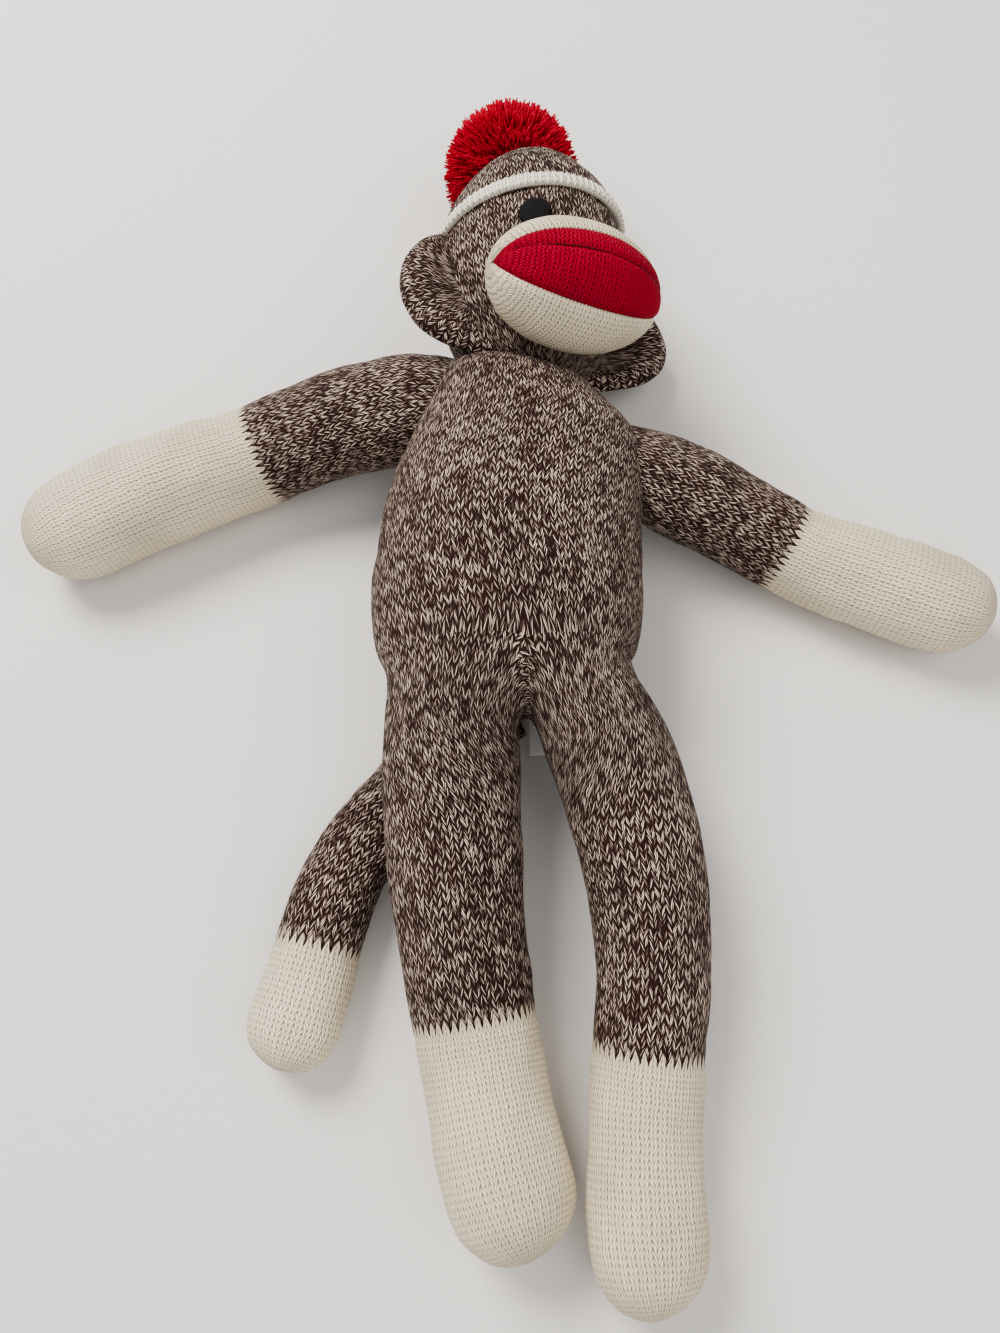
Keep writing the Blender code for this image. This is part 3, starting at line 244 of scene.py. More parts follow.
def knit(name, rows, marks, wrap=True, amount=0.0, floor=True):
    """Make cloth from rows of points. A row of one point is a pole where the stitches are gathered."""
    starts, points = [], []
    for row in rows:
        starts.append(len(points))
        points += [tuple(p) for p in row]
    faces, corners = [], []
    for i in range(len(rows) - 1):
        count = max(len(rows[i]), len(rows[i + 1]))
        for j in range(count if wrap else count - 1):
            face, marked = [], []
            for row, column in ((i, j), (i, j + 1), (i + 1, j + 1), (i + 1, j)):
                index = starts[row] + (0 if len(rows[row]) == 1 else column % len(rows[row]))
                if index not in face:
                    face.append(index)
                    marked.append(marks[row][column])
            faces.append(face)
            corners += marked
    mesh = make_mesh(name, points, faces, corners)
    outward(mesh)
    made = link(mesh, name)
    rework(made, amount, floor)
    return made


def rework(made, amount, floor=True):
    """Add the lumps of the stuffing, then press the piece on the floor."""
    mesh = made.data
    points = np.zeros(len(mesh.vertices) * 3)
    mesh.vertices.foreach_get("co", points)
    points = points.reshape(-1, 3)
    if amount:
        normals = np.array([v.vector for v in mesh.vertex_normals])
        points = lumps(points, normals, amount, 0.022)
        points = lumps(points, normals, amount * 0.4, 0.009)
    if floor:
        points = settle(points)
    mesh.vertices.foreach_set("co", points.reshape(-1))
    mesh.update()


def choose(pieces):
    """Select only these pieces and make the first one active."""
    bpy.ops.object.select_all(action="DESELECT")
    for piece in pieces:
        piece.select_set(True)
    bpy.context.view_layer.objects.active = pieces[0]


def apply_all(made):
    choose([made])
    for step in list(made.modifiers):
        bpy.ops.object.modifier_apply(modifier=step.name)


def name_active(name):
    """Name the piece that was made last."""
    made = bpy.context.active_object
    made.name = made.data.name = name
    return made


def bead(place, segments, rings):
    """A small ball that a matrix stretches into one stitch."""
    bpy.ops.mesh.primitive_uv_sphere_add(segments=segments, ring_count=rings, radius=0.5, location=(0, 0, 0))
    made = bpy.context.active_object
    made.data.transform(place)
    return made


def join_as(pieces, name):
    """Join pieces into one smooth piece."""
    choose(pieces)
    bpy.ops.object.join()
    bpy.ops.object.shade_smooth()
    return name_active(name)


CLOTHS = {}


def dress(made, body, cloth, replaces=(), bend=None):
    """Give a finished piece its cloth and hide the parts that it stands for. A piece with a bend keeps its
    place baked into its mesh; any other hangs on an empty named for its body.
    """
    made.data.materials.clear()
    made.data.materials.append(CLOTHS[cloth])
    if bend:
        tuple(bend[1])
        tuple(bend[2])
        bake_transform(made)
    else:
        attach(made, body)
    if replaces:
        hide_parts(*replaces)


def dress_stuffed(made, body, cloth, bend=None):
    """Dress a piece that stands for both the skin and the stuffing of its body."""
    dress(made, body, cloth, (f"{body}_skin", f"{body}_stuffing"), bend)


def bend_over(body, limb, first, last):
    """The neighbouring body, and the two ends of a stretch of a limb."""
    return body, limb.frame(first)[0], limb.frame(last)[0]


# ---------------------------------------------------------------- settings


class SockMonkeySizes(bpy.types.PropertyGroup):
    wale: FloatProperty(
        name="Stitch width", description="Width of one column of stitches", default=0.0034, unit="LENGTH",
    )
    course: FloatProperty(
        name="Stitch height", description="Height of one course", default=0.0024, unit="LENGTH",
    )
    lump: FloatProperty(
        name="Lumpiness", description="How far the stuffing pushes the cloth", default=0.0011, unit="LENGTH",
    )
    strands: IntProperty(
        name="Pompom strands", description="Number of cut yarn ends", default=3400, min=100,
    )


COLOUR = {"subtype": "COLOR", "size": 4, "min": 0.0, "max": 1.0}


class SockMonkeyColours(bpy.types.PropertyGroup):
    dark: FloatVectorProperty(
        name="Dark ply", description="The brown ply of the marl yarn",
        default=(0.032, 0.0082, 0.0054, 1.0), **COLOUR,
    )
    pale: FloatVectorProperty(
        name="Pale ply", description="The white ply of the marl yarn",
        default=(0.86, 0.695, 0.575, 1.0), **COLOUR,
    )
    cream: FloatVectorProperty(
        name="Cream yarn", description="The yarn of hands, feet and muzzle",
        default=(0.95, 0.84, 0.64, 1.0), **COLOUR,
    )
    # Painted shade: the cream yarn turns this colour in the gaps and holes between stitches
    cream_painted_shade: FloatVectorProperty(
        name="Cream shade", description="The cream yarn between stitches",
        default=(0.26, 0.20, 0.13, 1.0), **COLOUR,
    )
    red: FloatVectorProperty(
        name="Red yarn", description="The yarn of the lips", default=(0.40, 0.0, 0.022, 1.0), **COLOUR,
    )
    # Painted shade: the red yarn turns this colour in the gaps and holes between stitches
    red_painted_shade: FloatVectorProperty(
        name="Red shade", description="The red yarn between stitches",
        default=(0.12, 0.0, 0.006, 1.0), **COLOUR,
    )
    felt: FloatVectorProperty(
        name="Felt", description="The felt of the eyes", default=(0.004, 0.004, 0.005, 1.0), **COLOUR,
    )
    thread: FloatVectorProperty(
        name="Thread", description="The dark sewing thread", default=(0.030, 0.008, 0.008, 1.0), **COLOUR,
    )
    floor: FloatVectorProperty(
        name="Floor", description="The plain floor", default=(0.72, 0.70, 0.67, 1.0), **COLOUR,
    )


def sizes():
    return bpy.context.scene.monkey_sizes


def colours():
    return bpy.context.scene.monkey_colours


# ---------------------------------------------------------------- yarn and cloth materials


class Sketch:
    """Adds nodes to a tree and joins them."""

    def __init__(self, tree):
        self.tree = tree

    def feed(self, made, inputs):
        """Feed the inputs of a node, by name or number, from sockets or with plain values."""
        for key, value in inputs.items():
            if isinstance(value, bpy.types.NodeSocket):
                self.tree.links.new(value, made.inputs[key])
            else:
                made.inputs[key].default_value = value
        return made

    def node(self, kind, inputs=None, **settings):
        made = self.tree.nodes.new(kind)
        for name, value in settings.items():
            setattr(made, name, value)
        return self.feed(made, inputs or {})

    def math(self, operation, a, b=0.0, clamp=False):
        return self.node("ShaderNodeMath", {0: a, 1: b}, operation=operation, use_clamp=clamp).outputs[0]

    def plus(self, a, b, clamp=False):
        return self.math("ADD", a, b, clamp)

    def minus(self, a, b, clamp=False):
        return self.math("SUBTRACT", a, b, clamp)

    def times(self, a, b, clamp=False):
        return self.math("MULTIPLY", a, b, clamp)

    def noise(self, place, scale, detail, **settings):
        inputs = {"Vector": place, "Scale": scale, "Detail": detail}
        return self.node("ShaderNodeTexNoise", inputs, **settings).outputs["Fac"]

    def step(self, value, low, high):
        """A smooth step from 0 at low to 1 at high."""
        inputs = {"Value": value, "From Min": low, "From Max": high}
        return self.node("ShaderNodeMapRange", inputs, interpolation_type="SMOOTHSTEP").outputs["Result"]

    def mix(self, share, a, b, blend="MIX"):
        inputs = {0: share, 6: a, 7: b}
        return self.node("ShaderNodeMix", inputs, data_type="RGBA", blend_type=blend).outputs[2]

    def bump(self, strength, distance, height):
        inputs = {"Strength": strength, "Distance": distance, "Height": height}
        return self.node("ShaderNodeBump", inputs).outputs[0]


def group_tree(name, inputs, outputs):
    """A new node group with its sockets, and the nodes that carry them."""
    tree = bpy.data.node_groups.new(name, "ShaderNodeTree")
    for kind, labels in (("INPUT", inputs), ("OUTPUT", outputs)):
        for label in labels:
            socket_type = "NodeSocketVector" if label == "Stitch" else "NodeSocketFloat"
            tree.interface.new_socket(name=label, in_out=kind, socket_type=socket_type)
    return tree, tree.nodes.new("NodeGroupInput"), tree.nodes.new("NodeGroupOutput")


def stitch_group():
    """Plain knitting: each column of stitches is a stack of V shapes made by two slanting strokes of yarn."""
    if "knitted stitches" in bpy.data.node_groups:
        return bpy.data.node_groups["knitted stitches"]
    results = ("Height", "Shade", "Ply", "Hole shade", "Course")
    tree, given, out = group_tree("knitted stitches", ("Stitch", "Slant"), results)
    s = Sketch(tree)
    stitch = given.outputs["Stitch"]
    cut = s.node("ShaderNodeSeparateXYZ", {0: stitch})
    sway = s.times(s.minus(s.noise(stitch, 0.45, 2.0, noise_dimensions="2D"), 0.5), 0.45)
    across = s.plus(cut.outputs["X"], sway)
    up = s.plus(cut.outputs["Y"], sway)
    # Each column is parted at its middle, and the courses slant up on both sides of it
    column = s.math("FLOOR", across)
    side = s.minus(s.minus(across, column), 0.5)
    out_share = s.times(s.math("ABSOLUTE", side), 2.0)
    stack = s.minus(up, s.times(out_share, given.outputs["Slant"]))
    course = s.math("FLOOR", stack)
    share = s.minus(s.minus(stack, course), 0.5)
    # The yarn is round, and it is tucked in at the middle and between two columns
    middle = s.times(share, 2.0)
    round_yarn = s.math("SQRT", s.minus(1.0, s.times(middle, middle), clamp=True))
    between = s.math("POWER", out_share, 6.0)
    inside = s.math("POWER", s.minus(1.0, out_share, clamp=True), 6.0)
    tucked = s.plus(s.times(between, 0.95), s.times(inside, 0.8))
    height = s.times(round_yarn, s.minus(1.0, tucked))
    hollow = s.plus(s.math("POWER", out_share, 3.0), s.times(inside, 0.8))
    # The plies wind round each other, and each stitch and each half of it starts at its own turn
    half = s.plus(column, s.times(s.math("GREATER_THAN", side, 0.0), 0.5))
    loop, leg = (s.node("ShaderNodeCombineXYZ", {0: x, 1: course}).outputs[0] for x in (column, half))
    chance, leg_chance = (
        s.node("ShaderNodeTexWhiteNoise", {"Vector": place}, noise_dimensions="2D") for place in (loop, leg)
    )
    parts = s.node("ShaderNodeSeparateColor", {0: chance.outputs["Color"]})
    patch = s.noise(loop, 0.3, 1.0, noise_dimensions="2D")
    turn = share
    for value, zero, weight in (
        (out_share, 0.5, 0.6), (patch, 0.35, 1.6), (parts.outputs[0], 0.5, 0.4),
        (leg_chance.outputs["Value"], 0.5, 0.85),
    ):
        turn = s.plus(turn, s.times(s.minus(value, zero), weight))
    wave = s.math("COSINE", s.times(turn, math.tau))
    wave = s.plus(wave, s.minus(parts.outputs[1], 1.0))
    # The shade mask falls to 0 in the gaps between strands and the hole mask rises in the holes between
    # stitches. Both only paint shade into the colour; the height makes the bump.
    s.feed(out, {
        "Height": height,
        "Shade": s.step(height, 0.15, 0.8),
        "Ply": s.step(s.minus(wave, tucked), -0.3, 0.3),
        "Hole shade": s.times(s.minus(1.0, round_yarn), hollow, clamp=True),
        "Course": course,
    })
    return tree


def fibre_group():
    """Fine loose fibres, and wide patches where the cloth is more or less worn."""
    if "loose fibres" in bpy.data.node_groups:
        return bpy.data.node_groups["loose fibres"]
    tree, _, out = group_tree("loose fibres", (), ("Fibre", "Patch"))
    s = Sketch(tree)
    place = s.node("ShaderNodeTexCoord").outputs["Object"]
    fine = s.node("ShaderNodeTexNoise", {"Vector": place, "Scale": 1400.0, "Detail": 3.0, "Distortion": 1.5})
    s.feed(out, {"Fibre": fine.outputs["Fac"], "Patch": s.noise(place, 28.0, 2.0)})
    return tree


def new_material(name, roughness=0.9, sheen=0.0, sheen_tint=(1.0, 1.0, 1.0, 1.0)):
    made = bpy.data.materials.new(name)
    made.use_nodes = True
    s = Sketch(made.node_tree)
    shader = s.feed(made.node_tree.nodes["Principled BSDF"], {
        "Roughness": roughness, "Specular IOR Level": 0.25,
        "Sheen Weight": sheen, "Sheen Roughness": 0.6, "Sheen Tint": sheen_tint,
    })
    return made, s, shader


def darker(colour, share):
    return (colour[0] * share, colour[1] * share, colour[2] * share, 1.0)


def plain_yarn(s, stitch, colour, shade):
    """Yarn of one colour with painted shade: a little darker between the strands and darkest in the holes
    between stitches.
    """
    fine = s.times(s.minus(1.0, stitch.outputs["Shade"]), 0.22)
    holes = s.times(stitch.outputs["Hole shade"], 2.4)
    return s.mix(s.plus(fine, holes, clamp=True), colour, shade)


def knit_material(name, pale, dark, marl=False, ends_cream=False, slant=2.4):
    """Knitted cloth. Marl yarn has two plies, and a limb's cloth may end in cream yarn. The dark colour is
    the brown ply of marl yarn, but painted shade between the stitches of plain yarn.
    """
    made, s, shader = new_material(name, sheen=0.03, sheen_tint=pale)
    uv = s.node("ShaderNodeUVMap", uv_map="stitches")
    stitch = s.node("ShaderNodeGroup", {}, node_tree=stitch_group())
    s.feed(stitch, {"Stitch": uv.outputs[0], "Slant": slant})
    fibre = s.node("ShaderNodeGroup", node_tree=fibre_group())
    if marl:
        ply = s.mix(stitch.outputs["Ply"], dark, pale)
        # Painted shade: the gaps between strands turn a very dark brown
        colour = s.mix(stitch.outputs["Shade"], darker(dark, 0.4), ply)
    else:
        colour = plain_yarn(s, stitch, pale, dark)
    if ends_cream:
        cream = plain_yarn(s, stitch, colours().cream, colours().cream_painted_shade)
        colour = s.mix(s.math("LESS_THAN", stitch.outputs["Course"], 0.0), colour, cream)
    worn = s.plus(s.times(fibre.outputs["Patch"], 0.5), 0.75)
    tone = s.node("ShaderNodeCombineColor", {0: worn, 1: worn, 2: worn})
    fine = fibre.outputs["Fibre"]
    height = s.plus(stitch.outputs["Height"], s.times(fine, 0.35))
    s.feed(shader, {
        "Base Color": s.mix(1.0, colour, tone.outputs[0], "MULTIPLY"),
        "Normal": s.bump(0.8, 0.0012, height),
        "Roughness": s.plus(s.times(fine, 0.2), 0.78),
    })
    return made


def fibre_material(name, pale, dark, roughness, sheen):
    """Felt, thread or loose yarn: one colour with fine fibres."""
    made, s, shader = new_material(name, roughness, sheen, pale)
    fibre = s.node("ShaderNodeGroup", node_tree=fibre_group())
    fine = fibre.outputs["Fibre"]
    share = s.step(s.plus(fine, s.times(fibre.outputs["Patch"], 0.4)), 0.45, 0.95)
    s.feed(shader, {"Base Color": s.mix(share, dark, pale), "Normal": s.bump(0.6, 0.0004, fine)})
    return made


def build_cloths():
    c = colours()
    # The second colour is the brown ply of the marl, and painted shade between the stitches of the plain
    # knits, such as the rib band's
    for key, name, *settings in (
        ("marl", "marl knit", c.pale, c.dark, True),
        ("marl limb", "marl knit ending in cream", c.pale, c.dark, True, True),
        ("cream", "cream knit", c.cream, c.cream_painted_shade, False, False, 1.5),
        ("band", "cream rib knit", (0.95, 0.90, 0.79, 1.0), (0.42, 0.36, 0.26, 1.0), False, False, 1.2),
        ("red", "red knit", c.red, c.red_painted_shade, False, False, 1.2),
    ):
        CLOTHS[key] = knit_material(name, *settings)
    for key, name, *settings in (
        ("mouth", "dark red thread", (0.10, 0.0, 0.006, 1.0), (0.04, 0.0, 0.002, 1.0), 0.8, 0.0),
        ("felt", "black felt", (0.012, 0.012, 0.013, 1.0), c.felt, 0.95, 0.03),
        ("yarn", "cut red yarn", (0.56, 0.010, 0.035, 1.0), (0.30, 0.002, 0.012, 1.0), 0.85, 0.35),
        ("thread", "sewing thread", c.thread, (0.010, 0.003, 0.003, 1.0), 0.7, 0.1),
        ("tape", "woven tape", (0.90, 0.88, 0.84, 1.0), (0.74, 0.72, 0.68, 1.0), 0.8, 0.1),
    ):
        CLOTHS[key] = fibre_material(name, *settings)


# ---------------------------------------------------------------- body and legs


def torso_line():
    return Line((0.002, -0.088, 0.0), math.radians(93), TORSO_LENGTH, math.radians(-14))


# Heading, bend, length, straight end, length and bend of the foot, radius, way from colour change to ankle
LEGS = {
    "right": (-91.8, 13, 0.1328, 0.0232, 0.0722, 10.6, 0.0266, 0.0082),
    "left": (-61.1, -35, 0.1460, 0.0208, 0.0760, 14, 0.0238, 0.0069),
}
LEG_RADII = ((-0.2, 0.98), (0.0, 1.0), (0.2, 1.05), (0.4, 1.02), (0.7, 0.92), (1.0, 0.87))
FOOT_RADII = ((0.0, 1.0), (0.3, 0.98), (0.62, 1.02), (0.76, 1.0))


def leg_of(side):
    """A leg's middle line, its radii, the place of its colour change and its number of stitch columns."""
    *form, radius, back_off = LEGS[side]
    limb = jointed(f"hip_flex_{side}", f"ankle_bend_{side}", *form)
    around = round(math.tau * radius * 0.96 / sizes().wale)
    return limb, thickness(limb, radius, LEG_RADII, FOOT_RADII), limb.first.length - back_off, around


def torso_ring(line, share):
    middle, across, _ = line.frame(share * TORSO_LENGTH)
    wide, deep = TORSO_WIDE * eased(TORSO_WIDTHS, share), TORSO_DEEP * eased(TORSO_DEPTHS, share)
    middle.z = TORSO_HIGH * eased(TORSO_MIDDLES, share)
    shift = 0.0095 * (1 - ramp(share, 0.15, 0.5))
    top = ramp(share, 0.82, 1.0)
    middle.x -= 0.006 * top
    ring = []
    for angle in BODY_ANGLES:
        x = math.cos(angle)
        lean = shift * (1 - x * x)
        spot = middle + across * (x * wide + lean) + Vector((0, 0, 1)) * math.sin(angle) * deep
        spot.x += 0.0048 * max(x, 0.0) * ramp(share, 0.62, 0.88)
        spot.y -= 0.14 * top * (spot.x - middle.x - 0.008)
        ring.append(spot)
    return ring


def leg_ring(side, limb, radius, s, tilt):
    """One ring of a leg. Its first column is the front of the body on the right and the back on the left."""
    middle, across, up = limb.frame(s)
    ahead = up.cross(across)
    inner = -across if side == "right" else across
    half = math.radians(49)
    ring, leans = [], []
    for c in range(LEG_COLUMNS):
        if c <= HALF_COLUMNS:
            angle = half + c * (math.tau - 2 * half) / HALF_COLUMNS
        else:
            angle = -half + (c - HALF_COLUMNS) * 2 * half / ARCH_COLUMNS
        if side == "left":
            angle = -angle
        lean = tilt * math.cos(angle)
        ring.append(middle + inner * math.cos(angle) * radius + up * math.sin(angle) * radius + ahead * lean)
        leans.append(lean)
    return ring, leans


def build_body():
    """The body and both legs are knitted in one, then parted where each leg hangs on its hip."""
    m = sizes()
    line = torso_line()
    points, faces, marks, parts = [], [], [], []

    def add(ring):
        points.extend(ring)
        return list(range(len(points) - len(ring), len(points)))

    def quad(low, high, c, d, low_marks, high_marks, part):
        faces.append((low[c], low[d], high[d], high[c]))
        marks.extend((low_marks[0], low_marks[1], high_marks[1], high_marks[0]))
        parts.append(part)

    density = 2 * round(math.pi * 0.0570 / m.wale) / BODY_COLUMNS
    rings = [add(torso_ring(line, share)) for share in TORSO_ROWS]
    across = line.frame(TORSO_LENGTH)[1]
    for s, radius in ((0.160, 0.023), (0.152, 0.019)):
        centre = line.at(s)
        centre.z = NECK_HIGH
        rings.append(add([
            centre + across * math.cos(a) * radius + Vector((0, 0, 1)) * math.sin(a) * radius
            for a in BODY_ANGLES
        ]))
    heights = [share * TORSO_LENGTH for share in TORSO_ROWS] + [0.166, 0.174]
    for i in range(len(rings) - 1):
        low, high = ((heights[k] - heights[0]) / m.course for k in (i, i + 1))
        for j in range(BODY_COLUMNS):
            marked = [[(x * density, y) for x in (j, j + 1)] for y in (low, high)]
            quad(rings[i], rings[i + 1], j, (j + 1) % BODY_COLUMNS, *marked, 0)
    front, back = points[rings[0][0]], points[rings[0][HALF_COLUMNS]]
    arch = []
    for k in range(1, ARCH_COLUMNS):
        a = math.pi * k / ARCH_COLUMNS
        spot = (front + back) / 2 - (front - back) / 2 * math.cos(a) * 0.92
        spot.y = front.y - 0.0225 * math.sin(a) ** 0.8
        spot.x += 0.002 * math.sin(a)
        arch.append(spot)
    arch = add(arch)
    seam = HALF_COLUMNS + ARCH_COLUMNS // 2
    for part, side in ((1, "right"), (2, "left")):
        limb, radii, change, around = leg_of(side)
        if side == "right":
            first = rings[0][:HALF_COLUMNS + 1] + arch
            centre_mark = density * HALF_COLUMNS / 2
        else:
            first = rings[0][HALF_COLUMNS:] + [rings[0][0]] + list(reversed(arch))
            centre_mark = density * HALF_COLUMNS * 1.5
        lead = front.y - limb.frame(0.0)[0].y
        count = round((lead + change) / m.course)
        course = (lead + change) / count
        places = [s for s in LEG_PLACES if s < change - 0.006]
        places += [change + step * course for step in (-1, 0, 0.5, 1.3, 2.4)]
        last, last_density = first, density
        last_heights = [count - max(front.y - points[c].y, 0.0) / course for c in first]
        for k, s in enumerate(places):
            tilt = (0.008, 0.005, 0.002)[k] if k < 3 else 0.0
            size = radii(s)
            if s > change + 0.0001:
                size = radii(change) - 0.0014 * ramp(s, change + 0.5 * course, change + 2.4 * course)
            ring, leans = leg_ring(side, limb, size * 1.012, s, tilt)
            ring = add(ring)
            settled = ramp(s, 0.0, 0.05)
            ring_density = density * (1 - settled) + around / LEG_COLUMNS * settled
            ring_heights = [count - (lead + s + lean) / course for lean in leans]
            for c in range(LEG_COLUMNS):
                d = (c + 1) % LEG_COLUMNS
                e = (c, c + 1) if c < seam else (c - LEG_COLUMNS, c + 1 - LEG_COLUMNS)
                marked = [
                    [(centre_mark + (x - HALF_COLUMNS / 2) * wide, tops[y]) for x, y in zip(e, (c, d))]
                    for wide, tops in ((ring_density, ring_heights), (last_density, last_heights))
                ]
                quad(ring, last, c, d, *marked, part)
            last, last_density, last_heights = ring, ring_density, ring_heights
    mesh = make_mesh("body cage", points, faces, marks, parts)
    outward(mesh)
    whole = link(mesh, "body cage")
    step = whole.modifiers.new("round", "SUBSURF")
    step.levels = step.render_levels = 2
    for _ in range(3):
        mesh.materials.append(None)
    apply_all(whole)
    rework(whole, m.lump)
    return whole


def split_parts(whole, names):
    """Part a mesh by its material numbers, and keep its smooth shading over the cuts."""
    mesh = whole.data
    normals = [v.vector.copy() for v in mesh.vertex_normals]
    layer = mesh.uv_layers["stitches"].data
    made = []
    for part, name in enumerate(names):
        used, points, faces, marks, shading = {}, [], [], [], []
        for face in mesh.polygons:
            if face.material_index != part:
                continue
            corner = []
            for loop in face.loop_indices:
                index = mesh.loops[loop].vertex_index
                if index not in used:
                    used[index] = len(points)
                    points.append(mesh.vertices[index].co.copy())
                    shading.append(normals[index])
                corner.append(used[index])
                marks.append(tuple(layer[loop].uv))
            faces.append(corner)
        data = make_mesh(name, points, faces, marks)
        data.normals_split_custom_set_from_vertices(shading)
        made.append(link(data, name))
    bpy.data.objects.remove(whole)
    return made


def tube_marks(count, around, heights, first=0.0):
    return [[(first + j * around / count, height) for j in range(count + 1)] for height in heights]


def even(s):
    """The height of a round tube as a share of its width."""
    return 1.0


def tube_ring(limb, s, size, tall):
    """One course of stitches round a limb. Its first column lies underneath."""
    middle, across, up = limb.frame(s)
    return [
        middle + across * math.sin(a) * size - up * math.cos(a) * size * tall(s) for a in turns(TUBE_COLUMNS)
    ]


def end_piece(name, limb, change, radii, around, tip_share, tall=even):
    """A hand, a foot or a tail's end: cream cloth from just inside the colour change to a gathered tip."""
    course = sizes().course
    last = limb.length
    length = last - change
    straight = int(length * (1 - tip_share) / 0.0022)
    places = [change + (length * (1 - tip_share)) * i / straight for i in range(-2, straight + 1)]
    sizes_there = [
        radii(s) + 0.0004 - 0.0018 * (1 - ramp(s, change - course, change + course)) for s in places
    ]
    edge = radii(places[-1])
    for i in range(1, 13):
        a = math.pi / 2 * i / 12
        places.append(last - length * tip_share * (1 - math.sin(a)))
        sizes_there.append(edge * math.cos(a) ** 0.92 if i < 12 else 0.0)
    rows, heights, run = [], [], -2 * course
    for k, (s, size) in enumerate(zip(places, sizes_there)):
        if k:
            run += math.hypot(s - places[k - 1], size - sizes_there[k - 1])
        heights.append(-run / course)
        rows.append(tube_ring(limb, s, size, tall) if size > 1e-6 else [limb.frame(s)[0]])
    return knit(name, rows, tube_marks(TUBE_COLUMNS, around, heights), amount=sizes().lump)


def build_legs_and_body():
    torso, *legs = split_parts(build_body(), ("torso_cloth", "leg_right_cloth", "leg_left_cloth"))
    dress_stuffed(torso, "torso", "marl")
    for side, leg in zip(("right", "left"), legs):
        limb, radii, change, around = leg_of(side)
        joint = limb.first.length
        hip = limb.frame(0.0)[0]
        over = ("torso", Vector((hip.x, hip.y - 0.001, hip.z)), limb.frame(0.036)[0])
        dress_stuffed(leg, f"leg_{side}", "marl limb", over)
        foot = end_piece(f"foot_{side}_cloth", limb, change, radii, around, 0.27)
        over = bend_over(f"leg_{side}", limb, joint - 0.011, joint + 0.011)
        dress_stuffed(foot, f"foot_{side}", "cream", over)


# ---------------------------------------------------------------- arms, hands and tail


def tube_piece(name, limb, first, change, radii, around, tall=even, closed=True):
    """A brown length of a limb, from a gathered start to just past the colour change."""
    course = sizes().course
    count = round((change - first) / course)
    step = (change - first) / count
    places = [first + step * i for i in range(count + 1)]
    sizes_there = [radii(s) for s in places]
    places += [change + 0.5 * course, change + 1.3 * course, change + 2.4 * course]
    sizes_there += [radii(change), radii(change) - 0.0006, radii(change) - 0.0014]
    heights = [count - i for i in range(count + 1)] + [-0.5, -1.3, -2.4]
    rows = [tube_ring(limb, s, size, tall) for s, size in zip(places, sizes_there)]
    if closed:
        rows.insert(0, [limb.frame(first)[0]])
        heights.insert(0, heights[0] + radii(first) / course)
    return knit(name, rows, tube_marks(TUBE_COLUMNS, around, heights), amount=sizes().lump)


# Heading, bend and length of the arm, length and bend of the hand, radius, way from colour change to wrist
ARMS = {
    "right": (172.9, 27.0, 0.1044, 0.1119, 14.0, 0.0242, 0.0042),
    "left": (-22.0, -4.0, 0.0815, 0.0875, 8.9, 0.0206, 0.0034),
}
ARM_RADII = ((-0.15, 0.72), (0.0, 0.90), (0.15, 1.02), (0.3, 1.05), (0.6, 1.02), (1.0, 0.97))
HAND_RADII = ((0.0, 1.0), (0.3, 1.06), (0.6, 1.09), (0.76, 1.05))


def build_arms():
    for side, (heading, bend, length, hand_length, hand_bend, radius, back_off) in ARMS.items():
        form = (heading, bend, length, radius * 0.96, hand_length, hand_bend)
        limb = jointed(f"shoulder_swing_{side}", f"wrist_bend_{side}", *form)
        joint = limb.first.length
        change = joint - back_off
        radii = thickness(limb, radius, ARM_RADII, HAND_RADII)
        around = round(math.tau * radius / sizes().wale)
        arm = tube_piece(f"arm_{side}_cloth", limb, -0.012, change, radii, around)
        over = bend_over(f"shoulder_{side}", limb, 0.004, 0.034)
        dress_stuffed(arm, f"arm_{side}", "marl limb", over)
        hand = end_piece(f"hand_{side}_cloth", limb, change, radii, around, 0.25)
        over = bend_over(f"arm_{side}", limb, joint - 0.011, joint + 0.011)
        dress_stuffed(hand, f"hand_{side}", "cream", over)


class TailLine:
    """The tail's middle line in three lengths: flat where the leg lies on it, and full beyond."""

    def __init__(self):
        root, mid, end = pivot("tail_swing"), pivot("tail_bend"), pivot("tail_tip_bend")
        under_leg = line_between(root, mid, 214, 17, 0.058, 0.0173)
        beyond = line_between(mid, end, 231, 27, 0.083, 0.0173)
        tip = Line(end, beyond.end_heading(), 0.036, math.radians(-4))
        self.bend_at = under_leg.length
        self.tip_at = under_leg.length + beyond.length
        self.length = self.tip_at + tip.length
        self.lengths = ((under_leg, 0.0), (beyond, self.bend_at), (tip, self.tip_at))

    def high(self, s):
        """How high the tail stands here."""
        return 0.0135 + 0.0145 * ramp(s, self.bend_at, self.bend_at + 0.05)

    def frame(self, s):
        line, start = self.lengths[(s >= self.bend_at) + (s >= self.tip_at)]
        middle, across, _ = line.frame(s - start)
        middle.z = self.high(s) / 2
        return middle, across, Vector((0, 0, 1))

    def tall(self, s):
        return self.high(s) / 2 / 0.0170


